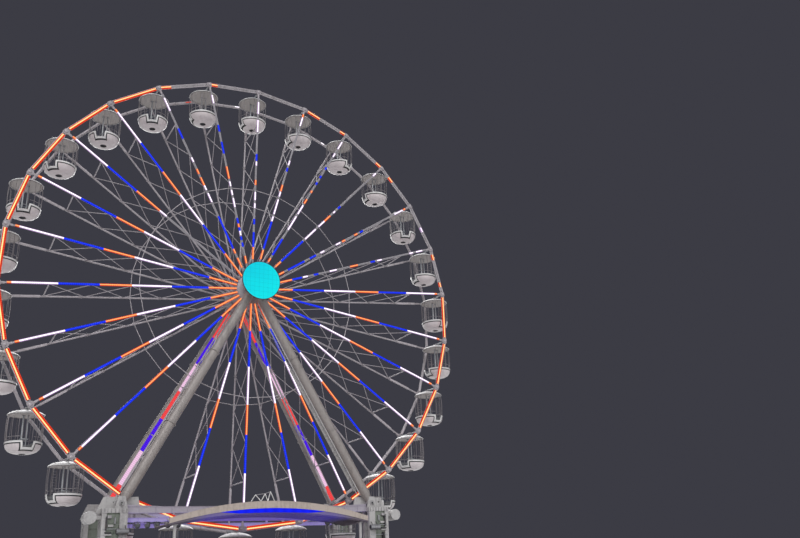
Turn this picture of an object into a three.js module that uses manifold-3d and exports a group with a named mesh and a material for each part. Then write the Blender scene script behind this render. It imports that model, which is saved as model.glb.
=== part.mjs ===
// A 37 m ferris wheel with 26 round open cabins, on a braced steel stand with a boarding deck and canopy.
// Origin on the ground under the hub. +Z up, +Y from the front, where people board, to the back. Millimetres.
import * as THREE from "three";
import { mergeVertices } from "three/addons/utils/BufferGeometryUtils.js";
import Module from "manifold-3d";

const wasm = await Module();
wasm.setup();

// Wheel
const hubHeight = 20500;
const rimRadius = 16300;
const rimGap = 2700; // between the centre planes of the two rims
const cabinCount = 26;
const firstAngle = THREE.MathUtils.degToRad(1.06); // of the first cabin, from the top towards +X
const step = (2 * Math.PI) / cabinCount;
const rimDepth = 220; // along the radius
const rimWidth = 150;
const bearing = { size: 460, width: 180 };
const spokeWidth = 105;
const spokeStart = 900;
const ringRadius = 7800; // of the thin ring halfway out
const ringBar = 60;
const flange = { radius: 1050, width: 120 };
// Crossed rods between the two sides, with levels as shares of the rim radius and their feet on a sleeve
const bracing = {
  levels: [0.817, 0.662, 0.507, 0.352, 0.197],
  rod: 50,
  strut: 80,
  foot: { radius: 640, reach: 850 },
  sleeve: { radius: 680, halfLength: 950 },
};

// Hub, fixed axle, and what carries it
const seat = 0.3; // left between pieces that touch
const weld = 20; // how far a piece runs into what it is welded to
const axleRadius = 250;
const drum = { radius: 600, halfLength: 1550, sides: 24 };
const bore = (axleRadius + seat) / Math.cos(Math.PI / drum.sides); // its flats clear the axle by the seat
const head = { radius: 720, near: 1650, far: 2350 };
const legRadius = 310;
const legTop = { y: 2000, z: hubHeight };
const legFoot = { x: 8247, y: 2729, z: 5700 };
const legEye = { radius: 300, width: 420 };
const display = { radius: 1380, y: 3270, width: 120, armRadius: 160 };

// Cabin, with heights measured down from its axle
const cabin = {
  radius: 1060, // of the tub
  sides: 12,
  axleRadius: 55,
  yoke: 170,
  mast: 80,
  mastSpacing: 270,
  roofTop: 90,
  roofRadius: 1100,
  roofShoulder: { radius: 620, drop: 70 },
  roofEdge: 380,
  roofLip: 40,
  rim: 2050,
  wall: 50,
  belly: { radius: 950, height: 330 },
  foot: { radius: 610, height: 70 },
  bottom: 2730,
  floor: 2470,
  floorRadius: 890,
};
const door = { top: 700, bottom: 540, depth: 420, sill: 130 };
// Each tub is free to turn about its mast: degrees from the front, anticlockwise from above
const tubTurn = [
  -90, -90, 30, -95, -15, -90, 20, -90, 15, -60, 0, -90, 20,
  -30, 0, -20, -60, 10, -30, -75, -60, -5, -40, -25, -15, -105,
];

// Stand
const tower = {
  x: 8620,
  y: 2729,
  width: 1450,
  depth: 1000,
  base: 350,
  cap: 5140,
  top: 5390,
  post: 260,
  brace: 100,
  web: 60,
};
const ear = { width: 760, thickness: 70, height: 710 };
// The ear on the wheel's side is a wide gusset: corners outwards from the pin line and up from the ground
const gusset = [[1350, 5170], [950, 6100], [-1040, 6100], [-1150, 5600], [-950, 5560]];
const truss = { depth: 240, upper: [5140, 5520], lower: [4640, 4880], post: 2900, brace: 120 };
const haunch = { length: 2300, rise: 110 };
const strap = { upper: 6600, lower: 5400, depth: 200 };
const sill = { height: 350, width: 400, reach: 5600 };
const deck = { x: 7200, front: -6200, back: 2100, low: 1250, top: 1400, edge: 260, post: 200 };
const stair = { width: 3200, steps: 7, going: 290 };
const rail = { height: 1100, post: 50, bar: 40, inset: 80, bay: 2500 };
const canopy = {
  halfSpan: 6250,
  top: { crown: 5530, rise: 920 },
  bottom: { crown: 4870, rise: 620 },
  roof: { crown: 4940, rise: 620, sheet: 120 },
  fascia: 120,
};
const canopyPost = { x: 5850, y: -5850, radius: 90 };
const housing = { x: 9970, z: 4900, radius: 360, length: 900, bracket: 200 };

// Materials
const paint = (color, roughness, metalness) =>
  new THREE.MeshStandardMaterial({ color, roughness, metalness });
const whiteSteel = paint(0xd9dadb, 0.42, 0.3);
const greySteel = paint(0x8f9295, 0.45, 0.6);
const cabinShell = paint(0xe6e0dd, 0.35, 0.0);
const galvanised = paint(0xa5a8a8, 0.5, 0.8);
const deckBoard = paint(0x5d5f61, 0.7, 0.2);
const displayFace = paint(0x18e6f2, 0.3, 0.0);
const canopyPaint = paint(0xbdb4ae, 0.5, 0.1);

const vec = (x, y, z) => new THREE.Vector3(x, y, z);

// A closed three.js geometry as a solid that can be joined and cut.
function solid(geometry) {
  const bare = geometry.clone();
  bare.deleteAttribute("normal");
  bare.deleteAttribute("uv");
  const merged = mergeVertices(bare, 1e-3);
  const kept = [];
  for (let i = 0; i < merged.index.count; i += 3) {
    const corners = [0, 1, 2].map((j) => merged.index.getX(i + j));
    if (new Set(corners).size === 3) kept.push(...corners);
  }
  const vertProperties = merged.attributes.position.array;
  return new wasm.Manifold(new wasm.Mesh({ numProp: 3, vertProperties, triVerts: new Uint32Array(kept) }));
}

const join = (pieces) => pieces.reduce((whole, piece) => whole.add(piece));

// A solid as the geometry of a mesh.
function geometryOf(piece) {
  const mesh = piece.getMesh();
  const flat = new THREE.BufferGeometry();
  flat.setAttribute("position", new THREE.BufferAttribute(mesh.vertProperties, 3));
  flat.setIndex(new THREE.BufferAttribute(mesh.triVerts, 1));
  flat.computeVertexNormals();
  return flat;
}

const box = ([x0, x1], [y0, y1], [z0, z1]) =>
  solid(
    new THREE.BoxGeometry(x1 - x0, y1 - y0, z1 - z0).translate((x0 + x1) / 2, (y0 + y1) / 2, (z0 + z1) / 2),
  );

// A round rod between two points.
function rod(from, to, radius, sides) {
  const along = to.clone().sub(from);
  const turn = new THREE.Quaternion().setFromUnitVectors(vec(0, 1, 0), along.clone().normalize());
  const shape = new THREE.CylinderGeometry(radius, radius, along.length(), sides);
  shape.applyQuaternion(turn);
  const middle = from.clone().add(to).multiplyScalar(0.5);
  return solid(shape.translate(middle.x, middle.y, middle.z));
}

// A square bar between two points, `width` across and `depth` along the direction `side`.
function bar(from, to, width, depth, side = vec(0, 1, 0)) {
  const along = to.clone().sub(from);
  const forward = along.clone().normalize();
  const across = forward.clone().cross(side).normalize();
  const other = across.clone().cross(forward);
  const shape = new THREE.BoxGeometry(width, along.length(), depth);
  shape.applyMatrix4(new THREE.Matrix4().makeBasis(across, forward, other));
  const middle = from.clone().add(to).multiplyScalar(0.5);
  return solid(shape.translate(middle.x, middle.y, middle.z));
}

// A profile of [radius, height] points turned round the Z axis.
const turned = (points, sides) =>
  solid(new THREE.LatheGeometry(points.map(([r, h]) => new THREE.Vector2(r, h)), sides).rotateX(Math.PI / 2));

// A drawn outline in X and Z, given thickness from y0 to y1.
function plate(shape, y0, y1, curveSegments = 12) {
  const slab = new THREE.ExtrudeGeometry(shape, { depth: y1 - y0, bevelEnabled: false, curveSegments });
  return solid(slab.rotateX(Math.PI / 2).translate(0, y1, 0));
}

const outline = (points) => new THREE.Shape(points.map(([x, z]) => new THREE.Vector2(x, z)));

const root = new THREE.Group();
const stand = new THREE.Group();
const wheel = new THREE.Group();
wheel.position.set(0, 0, hubHeight);
root.add(stand, wheel);

function place(group, name, piece, material, position = vec(0, 0, 0)) {
  const mesh = new THREE.Mesh(piece.isBufferGeometry ? piece : geometryOf(piece), material);
  mesh.name = name;
  mesh.position.copy(position);
  group.add(mesh);
}

// Point on a circle round the hub, in the wheel's own group
const onWheel = (angle, radius, y) => vec(radius * Math.sin(angle), y, radius * Math.cos(angle));
const cabinAngle = (i) => firstAngle + i * step;

// A band round the wheel's axis, with one flat for each cabin or any other number of sides
function band(inner, outer, y, width, sides) {
  const low = y - width / 2;
  const high = y + width / 2;
  const corners = [[inner, low], [outer, low], [outer, high], [inner, high], [inner, low]];
  const profile = corners.map(([r, h]) => new THREE.Vector2(r, h));
  return solid(new THREE.LatheGeometry(profile, sides, firstAngle));
}

// One side of the wheel: rim, spokes, middle ring and hub flange, welded into one flat frame
function sideFrame(y) {
  const pieces = [
    band(drum.radius + seat, flange.radius, y, flange.width, drum.sides),
    band(rimRadius - rimDepth / 2, rimRadius + rimDepth / 2, y, rimWidth, cabinCount),
    band(ringRadius - ringBar / 2, ringRadius + ringBar / 2, y, ringBar, cabinCount),
  ];
  for (let i = 0; i < cabinCount; i++) {
    const a = cabinAngle(i);
    const low = onWheel(a, rimRadius - bearing.size / 2, y);
    const high = onWheel(a, rimRadius + bearing.size / 2, y);
    const end = onWheel(a, rimRadius - bearing.size / 4, y);
    pieces.push(bar(low, high, bearing.size, bearing.width));
    pieces.push(bar(onWheel(a, spokeStart, y), end, spokeWidth, spokeWidth));
  }
  return join(pieces);
}

// A level strut and five crossings between the two spokes of a pair, drawn across the wheel and outwards
function ladderSolid() {
  const { levels, rod: width, strut, foot } = bracing;
  const side = (rimGap - spokeWidth) / 2 - seat;
  const radii = levels.map((share) => share * rimRadius);
  const top = radii[0] - strut / 2;
  const bays = radii.map((high, i) => {
    const last = i === radii.length - 1;
    const slope = (high - (last ? foot.radius : radii[i + 1])) / (side + (last ? foot.reach : side));
    const tall = (width / 2) * Math.hypot(1, slope);
    return { high, slope, tall, wide: tall / slope, crossing: high - slope * side };
  });
  const right = [[side, radii[0] + strut / 2], [side, top]];
  bays.forEach(({ high, tall, wide, crossing }, i) => {
    if (i) right.push([side, high + tall], [side, high - tall]);
    right.push([wide, crossing]);
  });
  const lowest = bays[bays.length - 1];
  right.push([foot.reach + lowest.wide, foot.radius], [foot.reach - lowest.wide, foot.radius]);
  const left = right.map(([x, r]) => [-x, r]).reverse();
  const under = bays[0].crossing + bays[0].tall;
  const corner = (top - under) / bays[0].slope;
  const gaps = [[[0, under], [corner, top], [-corner, top]]];
  bays.slice(1).forEach((bay, i) => {
    const high = bays[i].crossing - bays[i].tall;
    const tip = side - bay.wide;
    gaps.push([[0, high], [tip, bay.high], [0, bay.crossing + bay.tall], [-tip, bay.high]]);
  });
  const slab = (points, depth) => {
    const drawn = new THREE.ExtrudeGeometry(outline(points), { depth, bevelEnabled: false });
    return solid(drawn.translate(0, 0, -depth / 2));
  };
  const whole = slab([...right, [0, lowest.crossing - lowest.tall], ...left], width);
  return whole.subtract(join(gaps.map((points) => slab(points, 2 * width))));
}

// The ladders of all the spoke pairs, with their feet on one sleeve round the hub drum
function bracingSolid() {
  const { sleeve } = bracing;
  const ladder = ladderSolid();
  const pieces = [band(drum.radius + seat, sleeve.radius, 0, 2 * sleeve.halfLength, drum.sides)];
  for (let i = 0; i < cabinCount; i++) {
    const out = onWheel(cabinAngle(i), 1, 0);
    const across = vec(0, 1, 0);
    const turn = new THREE.Matrix4().makeBasis(across, out, across.clone().cross(out));
    pieces.push(ladder.transform(turn.elements));
  }
  return join(pieces);
}

// Round tub with a stepped doorway in its rim, twin mast, shallow domed roof, and the axle it hangs on
function cabinSolid(turn) {
  const { radius, sides, wall, belly, foot, floorRadius } = cabin;
  const { roofTop, roofRadius, roofShoulder, roofEdge, roofLip, rim, bottom, floor } = cabin;
  const tub = turned(
    [
      [0, -bottom],
      [foot.radius, -bottom + foot.height],
      [belly.radius, -bottom + belly.height],
      [radius, -rim],
      [radius - wall, -rim],
      [floorRadius, -floor + 2 * wall],
      [0, -floor],
    ],
    sides,
  );
  const notch = plate(
    outline([
      [-door.bottom / 2, -rim - door.depth],
      [door.bottom / 2, -rim - door.depth],
      [door.top / 2, -rim + wall],
      [-door.top / 2, -rim + wall],
    ]),
    -radius - wall,
    -radius / 2,
  );
  const belowSill = box([-radius, radius], [-2 * radius, 0], [-bottom, -floor + door.sill]);
  const roof = turned(
    [
      [0, -roofEdge + roofLip],
      [roofRadius - roofLip, -roofEdge - roofLip],
      [roofRadius, -roofEdge],
      [roofShoulder.radius, -roofTop - roofShoulder.drop],
      [0, -roofTop],
    ],
    sides,
  );
  const reach = (rimGap - bearing.width) / 2 - seat;
  const yokeReach = (cabin.mastSpacing + cabin.yoke) / 2;
  const masts = [-1, 1].map((side) => {
    const x = (side * cabin.mastSpacing) / 2;
    return bar(vec(x, 0, -floor - wall), vec(x, 0, -roofTop - 2 * wall), cabin.mast, cabin.mast);
  });
  return join([
    tub.subtract(notch.subtract(belowSill)).rotate([0, 0, turn]),
    roof,
    rod(vec(0, -reach, 0), vec(0, reach, 0), cabin.axleRadius, 6),
    box([-yokeReach, yokeReach], [-cabin.yoke / 2, cabin.yoke / 2], [-roofTop - wall, cabin.yoke / 2]),
    ...masts,
  ]);
}

place(wheel, "front_wheel_frame", sideFrame(-rimGap / 2), whiteSteel);
place(wheel, "rear_wheel_frame", sideFrame(rimGap / 2), whiteSteel);
place(wheel, "wheel_bracing", bracingSolid(), whiteSteel);
place(wheel, "hub_drum", band(bore, drum.radius, 0, 2 * drum.halfLength, drum.sides), greySteel);
tubTurn.forEach((turn, i) => {
  const name = "cabin_" + String(i + 1).padStart(2, "0");
  place(wheel, name, cabinSolid(turn), cabinShell, onWheel(cabinAngle(i), rimRadius, 0));
});

// The fixed axle and the two heads that the legs meet in
const axle = rod(vec(0, -head.near, hubHeight), vec(0, head.near, hubHeight), axleRadius, 20);
place(stand, "main_axle", axle, greySteel);

const headRod = (side, grow) =>
  rod(
    vec(0, side * (head.near + seat - grow), hubHeight),
    vec(0, side * (head.far + grow), hubHeight),
    head.radius + grow,
    24,
  );

// A leg from the head down to its eye, which turns on the pin line of the tower's ears
function leg(sideX, sideY) {
  const foot = vec(sideX * legFoot.x, sideY * legFoot.y, legFoot.z);
  const tube = rod(vec(0, sideY * legTop.y, legTop.z), foot, legRadius, 12);
  const ends = [-1, 1].map((s) => foot.clone().add(vec(0, (s * legEye.width) / 2, 0)));
  const slot = 2 * legRadius;
  const reach = gusset[0][0];
  const clear = [-1, 1].map((s) => {
    const near = foot.y + s * (legEye.width / 2);
    const range = s > 0 ? [near, near + slot] : [near - slot, near];
    return box([foot.x - reach, foot.x + reach], range, [0, tower.top + ear.height + ear.thickness]);
  });
  const flat = tube.subtract(headRod(sideY, seat)).subtract(join(clear));
  return flat.add(rod(ends[0], ends[1], legEye.radius, 12));
}

for (const [word, sideY] of [["front", -1], ["rear", 1]]) {
  place(stand, `leg_head_${word}`, headRod(sideY, 0), whiteSteel);
  for (const [side, sideX] of [["left", -1], ["right", 1]]) {
    place(stand, `leg_${word}_${side}`, leg(sideX, sideY), whiteSteel);
  }
}

const discBack = vec(0, -display.y, hubHeight);
const discFront = vec(0, -display.y - display.width, hubHeight);
const disc = rod(discBack, discFront, display.radius, 32);
const arm = rod(vec(0, -head.far - seat, hubHeight), discBack.lerp(discFront, 0.5), display.armRadius, 12);
place(stand, "display_disc", disc.add(arm), displayFace);

// The round housing on the outer side of a front tower, in the tower's own place
function housingSolid(sideX) {
  const { x, z, radius, length, bracket } = housing;
  const across = sideX * (x - tower.x);
  const ends = [sideX * (tower.width / 2 - tower.post / 4), across].sort((a, b) => a - b);
  const arm = box(ends, [-bracket, bracket], [z - bracket / 2, z + bracket / 2]);
  return rod(vec(across, -length / 2, z), vec(across, length / 2, z), radius, 16).add(arm);
}

// Tower: four posts, cap, ties, web plates, and the two ears that hold a leg's eye
function towerSolid(sideX, sideY) {
  const { width, depth, base, cap, top, post, brace, web } = tower;
  const x = [-width / 2, width / 2];
  const y = [-depth / 2, depth / 2];
  const middle = (base + cap) / 2;
  const pieces = [box(x, y, [cap, top])];
  for (const px of [x[0], x[1] - post]) {
    const across = [px, px + post];
    for (const py of [y[0], y[1] - post]) pieces.push(box(across, [py, py + post], [base + seat, cap]));
    pieces.push(box(across, y, [middle, middle + post]), box(across, y, truss.lower));
  }
  for (const py of [y[0], y[1] - post]) {
    for (const z of [base + seat, middle]) pieces.push(box(x, [py, py + post], [z, z + post]));
    const centre = py + post / 2;
    const from = vec(x[0] + post / 2, centre, base + post);
    const to = vec(x[1] - post / 2, centre, middle + post / 2);
    pieces.push(bar(from, to, brace, brace));
    pieces.push(box(x, [centre - web / 2, centre + web / 2], [middle, cap]));
  }
  const pin = sideX * (legFoot.x - tower.x);
  const near = legEye.width / 2 + seat;
  const foot = top - weld;
  const small = outline([
    [pin - ear.width / 2, foot],
    [pin + ear.width / 2, foot],
    [pin + ear.width / 4, top + ear.height],
    [pin - ear.width / 4, top + ear.height],
  ]);
  const wide = outline(gusset.map(([out, z]) => [pin + sideX * out, z]));
  for (const s of [-1, 1]) {
    const range = s > 0 ? [near, near + ear.thickness] : [-near - ear.thickness, -near];
    pieces.push(plate(s === sideY ? small : wide, range[0], range[1]));
  }
  if (sideY < 0) pieces.push(housingSolid(sideX));
  return join(pieces).translate([sideX * tower.x, sideY * tower.y, 0]);
}

// The two chords that tie the left and right towers, with haunches, straps and posts between them
function trussSolid(y) {
  const reach = tower.x - tower.width / 2 - seat;
  const range = [y - truss.depth / 2, y + truss.depth / 2];
  const pieces = [truss.upper, truss.lower].map((z) => box([-reach, reach], range, z));
  const [low, high] = [truss.lower[1] - weld, truss.upper[0] + weld];
  for (const side of [-1, 1]) {
    const x = side * truss.post;
    pieces.push(bar(vec(x, y, low), vec(x, y, high), truss.brace, truss.brace));
    const from = vec(side * strap.upper, y, high);
    pieces.push(bar(from, vec(side * strap.lower, y, low), strap.depth, truss.brace));
    const wedge = outline([
      [side * reach, truss.upper[1] + haunch.rise],
      [side * reach, truss.upper[0]],
      [side * (reach - haunch.length), truss.upper[0]],
      [side * (reach - haunch.length), truss.upper[1]],
    ]);
    pieces.push(plate(wedge, y - truss.brace / 2, y + truss.brace / 2));
  }
  return join(pieces);
}

for (const [word, sideY] of [["front", -1], ["rear", 1]]) {
  for (const [side, sideX] of [["left", -1], ["right", 1]]) {
    place(stand, `tower_${word}_${side}`, towerSolid(sideX, sideY), whiteSteel);
  }
  place(stand, `truss_${word}`, trussSolid(sideY * tower.y), whiteSteel);
}

// Sills on the ground: two run front to back under the towers, two tie them, and one crosses the middle
const halfSill = sill.width / 2;
const sideSill = (x) => box([x - halfSill, x + halfSill], [-sill.reach, sill.reach], [0, sill.height]);
const tieReach = tower.x - halfSill - seat;
const tieSill = (y) => box([-tieReach, tieReach], [y - halfSill, y + halfSill], [0, sill.height]);
const middleReach = tower.y - halfSill - seat;
place(stand, "sill_left", sideSill(-tower.x), galvanised);
place(stand, "sill_right", sideSill(tower.x), galvanised);
place(stand, "sill_front", tieSill(-tower.y), galvanised);
place(stand, "sill_rear", tieSill(tower.y), galvanised);
place(
  stand,
  "sill_centre",
  box([-halfSill, halfSill], [-middleReach, middleReach], [0, sill.height]),
  galvanised,
);

// Deck: floor, edge beam and posts that stand on the ground beside the sills
function deckSolid() {
  const { x, front, back, low, top, edge, post } = deck;
  const pieces = [box([-x, x], [front, back], [low, top])];
  for (const y of [front, back - post]) pieces.push(box([-x, x], [y, y + post], [low - edge, low]));
  for (const px of [-x, -x / 3, x / 3 - post, x - post]) {
    for (const y of [front, (front + back) / 2, back - post]) {
      pieces.push(box([px, px + post], [y, y + post], [0, low]));
    }
  }
  return join(pieces);
}
place(stand, "deck", deckSolid(), deckBoard);

// A flight of solid steps from the ground to the deck
function stairSolid() {
  const { width, steps, going } = stair;
  const rise = deck.top / steps;
  const points = [[0, 0]];
  for (let i = 0; i < steps - 1; i++) {
    const tread = (i + 1) * rise;
    points.push([i * going, tread], [(i + 1) * going, tread]);
  }
  points.push([(steps - 1) * going, 0]);
  const shape = outline(points);
  const slab = new THREE.ExtrudeGeometry(shape, { depth: width, bevelEnabled: false });
  slab.applyMatrix4(new THREE.Matrix4().makeBasis(vec(0, 1, 0), vec(0, 0, 1), vec(1, 0, 0)));
  const start = deck.front - seat - (steps - 1) * going;
  return solid(slab.translate(-width / 2, start, 0));
}
place(stand, "stair", stairSolid(), deckBoard);

// A run of railing along a line on the deck
function railing(from, to) {
  const foot = deck.top + seat;
  const length = from.distanceTo(to);
  const bays = Math.ceil(length / rail.bay);
  const pieces = [0.5, 1].map((share) => {
    const up = vec(0, 0, foot + rail.height * share - rail.bar / 2);
    return bar(from.clone().add(up), to.clone().add(up), rail.bar, rail.bar, vec(0, 0, 1));
  });
  for (let i = 0; i <= bays; i++) {
    const at = from.clone().lerp(to, i / bays);
    pieces.push(
      box(
        [at.x - rail.post / 2, at.x + rail.post / 2],
        [at.y - rail.post / 2, at.y + rail.post / 2],
        [foot, foot + rail.height - rail.bar / 4],
      ),
    );
  }
  return join(pieces);
}
const railX = deck.x - rail.inset;
const railFront = deck.front + rail.inset;
const railBack = deck.back - rail.inset;
const gate = stair.width / 2;
const corner = rail.post;
const runs = {
  railing_front_left: [vec(-railX, railFront, 0), vec(-gate, railFront, 0)],
  railing_front_right: [vec(gate, railFront, 0), vec(railX, railFront, 0)],
  railing_left: [vec(-railX, railFront + corner, 0), vec(-railX, railBack - corner, 0)],
  railing_right: [vec(railX, railFront + corner, 0), vec(railX, railBack - corner, 0)],
  railing_rear: [vec(-railX, railBack, 0), vec(railX, railBack, 0)],
};
for (const [name, [from, to]] of Object.entries(runs)) place(stand, name, railing(from, to), galvanised);

// Canopy: an arched front band, the curved roof sheet behind it and its two front posts
const arcRadius = ({ rise }) => (canopy.halfSpan ** 2 + rise ** 2) / (2 * rise);
const drop = (arc, x) => arcRadius(arc) - Math.sqrt(arcRadius(arc) ** 2 - x ** 2);

// A plate between two arcs across the front, each given by its crown and its rise
function archPlate(upper, lower, y0, y1) {
  const up = Math.PI / 2;
  const shape = new THREE.Shape();
  [upper, lower].forEach((arc, i) => {
    const radius = arcRadius(arc);
    const half = (i ? -1 : 1) * Math.asin(canopy.halfSpan / radius);
    shape.absarc(0, arc.crown - radius, radius, up + half, up - half, !i);
  });
  return plate(shape, y0, y1, 16);
}
const fasciaBack = deck.front + canopy.fascia;
place(stand, "canopy_arch", archPlate(canopy.top, canopy.bottom, deck.front, fasciaBack), canopyPaint);
const { roof } = canopy;
const roofUnder = { crown: roof.crown - roof.sheet, rise: roof.rise };
const roofBack = -tower.y - truss.depth / 2 - seat;
const roofSheet = archPlate(roof, roofUnder, fasciaBack + seat, roofBack);
place(stand, "canopy_roof", roofSheet, canopyPaint);
for (const [side, sideX] of [["left", -1], ["right", 1]]) {
  const x = sideX * canopyPost.x;
  const under = roofUnder.crown - drop(roofUnder, x);
  const post = rod(
    vec(x, canopyPost.y, deck.top + seat),
    vec(x, canopyPost.y, under + roof.sheet / 2),
    canopyPost.radius,
    12,
  );
  place(stand, `canopy_post_${side}`, post.subtract(roofSheet.translate([0, 0, -seat])), whiteSteel);
}

export default root;
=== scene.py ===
from math import asin, cos, pi, radians, sin, sqrt, tau

import bmesh
import bpy
from mathutils import Matrix, Vector


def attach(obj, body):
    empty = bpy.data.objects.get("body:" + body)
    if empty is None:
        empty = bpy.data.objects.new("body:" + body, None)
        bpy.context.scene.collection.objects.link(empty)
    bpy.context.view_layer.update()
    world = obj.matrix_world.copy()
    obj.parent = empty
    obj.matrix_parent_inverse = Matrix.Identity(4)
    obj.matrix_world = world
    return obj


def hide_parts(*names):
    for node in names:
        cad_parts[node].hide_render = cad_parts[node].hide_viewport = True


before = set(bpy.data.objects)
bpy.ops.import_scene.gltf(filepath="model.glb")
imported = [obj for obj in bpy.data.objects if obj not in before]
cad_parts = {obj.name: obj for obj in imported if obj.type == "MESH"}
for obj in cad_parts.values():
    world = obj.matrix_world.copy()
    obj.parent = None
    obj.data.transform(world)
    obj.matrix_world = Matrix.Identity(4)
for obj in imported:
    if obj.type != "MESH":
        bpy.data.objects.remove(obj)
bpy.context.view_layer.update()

# Camera and light

view = {
    "place": (-18.850, -53.890, 1.180), "yaw": 30.704, "pitch": 20.318, "roll": -2.803,
    "lens": 36.809, "reach": 400,
}
studio = {
    "sky": (0.045, 0.045, 0.058), "skyPower": 1.0, "softness": 50,
    "suns": [(52, 8, -38, 1.6), (78, 0, 30, 0.6), (58, 0, 165, 1.7)],  # tilt, lean, turn and power
    "floorSize": 4000, "floorDrop": 0.002,
}


def show(name, data):
    made = bpy.data.objects.new(name, data)
    bpy.context.scene.collection.objects.link(made)
    return made


def setCamera():
    camera = show("camera", bpy.data.cameras.new("camera"))
    camera.data.lens = view["lens"]
    camera.data.clip_end = view["reach"]
    turn = (
        Matrix.Rotation(radians(-view["yaw"]), 4, "Z")
        @ Matrix.Rotation(pi / 2 + radians(view["pitch"]), 4, "X")
        @ Matrix.Rotation(radians(view["roll"]), 4, "Z")
    )
    camera.matrix_world = Matrix.Translation(view["place"]) @ turn
    bpy.context.scene.camera = camera


def setLight():
    world = bpy.data.worlds.new("studio")
    world.use_nodes = True
    sky = world.node_tree.nodes["Background"]
    sky.inputs["Color"].default_value = (*studio["sky"], 1)
    sky.inputs["Strength"].default_value = studio["skyPower"]
    bpy.context.scene.world = world
    bpy.context.scene.view_settings.view_transform = "Standard"  # keeps the lamps' colours full
    for *tilt, power in studio["suns"]:
        sun = show("sun", bpy.data.lights.new("sun", "SUN"))
        sun.data.energy = power
        sun.data.angle = radians(studio["softness"])
        sun.rotation_euler = [radians(a) for a in tilt]


setCamera()
setLight()
print("camera and light set")


# Shader maths: a Wire is one socket, a Finish is one material


class Wire:
    def __init__(self, finish, socket):
        self.finish = finish
        self.socket = socket

    def __add__(self, other):
        return self.finish.maths("ADD", self, other)

    def __sub__(self, other):
        return self.finish.maths("SUBTRACT", self, other)

    def __mul__(self, other):
        return self.finish.maths("MULTIPLY", self, other)

    def __truediv__(self, other):
        return self.finish.maths("DIVIDE", self, other)

    def __rsub__(self, other):
        return self.finish.maths("SUBTRACT", other, self)

    __radd__ = __add__
    __rmul__ = __mul__

    def clip(self):
        return self.finish.node("Clamp", {}, {0: self})


class Finish:
    def __init__(self, name, **sockets):
        self.material = bpy.data.materials.new(name)
        self.material.use_nodes = True
        self.nodes = self.material.node_tree.nodes
        self.links = self.material.node_tree.links
        self.shader = self.nodes["Principled BSDF"]
        self.set(**sockets)
        self.place = self.node("TexCoord", {}, {}, "Object")

    def feed(self, socket, value):
        if isinstance(value, Wire):
            self.links.new(value.socket, socket)
        elif hasattr(value, "__len__") and len(value) == 3 and socket.type == "RGBA":
            socket.default_value = (*value, 1)
        else:
            socket.default_value = value

    def set(self, **sockets):
        for name, value in sockets.items():
            self.feed(self.shader.inputs[name.replace("_", " ")], value)

    def node(self, kind, settings, sockets, output=0):
        made = self.nodes.new("ShaderNode" + kind)
        for name, value in settings.items():
            setattr(made, name, value)
        for name, value in sockets.items():
            self.feed(made.inputs[name], value)
        return Wire(self, made.outputs[output])

    def maths(self, operation, first, second=0.5):
        return self.node("Math", {"operation": operation}, {0: first, 1: second})

    def noise(self, scale, detail=3, rough=0.5, place=None):
        sockets = {"Vector": place or self.place, "Scale": scale, "Detail": detail, "Roughness": rough}
        return self.node("TexNoise", {}, sockets)

    def cells(self, scale, output=0):
        return self.node("TexVoronoi", {}, {"Vector": self.place, "Scale": scale}, output)

    def stretch(self, x, y, z):
        return self.node("Mapping", {}, {"Vector": self.place, "Scale": (x, y, z)})

    def mix(self, share, low, high):
        return self.node("Mix", {"data_type": "RGBA"}, {0: share, 6: low, 7: high}, 2)

    def axis(self, i):
        return self.node("SeparateXYZ", {}, {0: self.place}, i)

    def aboveHub(self):
        return self.axis(2) - lampFacts["hub"]

    def wave(self, value, pitch):
        # 0 to 1 and back in each pitch
        return self.maths("SINE", value * (tau / pitch)) * 0.5 + 0.5

    def bump(self, height, strength, distance):
        self.set(Normal=self.node("Bump", {}, {"Strength": strength, "Distance": distance, "Height": height}))
        return self.material


paint = {"cloud": 0.55, "streaks": (5.5, 5.5, 0.35), "speck": 46, "grain": 7, "relief": 0.006}
zincFacts = {"spangle": 28.0, "cloud": 1.3, "speck": 60, "relief": 0.003}
lampFacts = {"hub": 20.5, "rim": 16.3, "pitch": 0.12, "haze": 3.5}


def paintedFinish(name, colour, grime, roughness=0.4, metallic=0.0, coat=0.0, dirt=1.0):
    finish = Finish(name, Metallic=metallic, Coat_Weight=coat, Coat_Roughness=0.12)
    cloud = finish.noise(paint["cloud"], 5)
    rain = finish.noise(1.0, 4, 0.6, finish.stretch(*paint["streaks"]))
    speck = finish.noise(paint["speck"], 2)
    grain = finish.noise(paint["grain"], 4)
    soil = ((cloud - 0.47) * 1.6 + (rain - 0.52) * 1.9 + (grain - 0.5) * 0.9).clip() * dirt
    tone = finish.mix((grain - 0.3) * 0.5, colour, [c * 0.9 for c in colour])
    finish.set(Base_Color=finish.mix(soil, tone, grime))
    finish.set(Roughness=roughness + soil * 0.22 + (speck - 0.5) * 0.16)
    return finish.bump(speck * 0.4 + grain, 0.14, paint["relief"])


def zincFinish(name, light, dark, roughness=0.42):
    finish = Finish(name, Metallic=0.85)
    spangle = finish.node("SeparateColor", {}, {0: finish.cells(zincFacts["spangle"], "Color")})
    cloud = finish.noise(zincFacts["cloud"], 5)
    speck = finish.noise(zincFacts["speck"], 2)
    finish.set(Base_Color=finish.mix((spangle * 0.45 + cloud * 0.7 - 0.1).clip(), light, dark))
    finish.set(Roughness=roughness + spangle * 0.12 + (cloud - 0.5) * 0.3)
    return finish.bump(speck + spangle * 0.5, 0.1, zincFacts["relief"])


def litFinish(name, power, base):
    return Finish(name, Roughness=0.5, Specular_IOR_Level=0.15, Emission_Strength=power, Base_Color=base)


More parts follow.
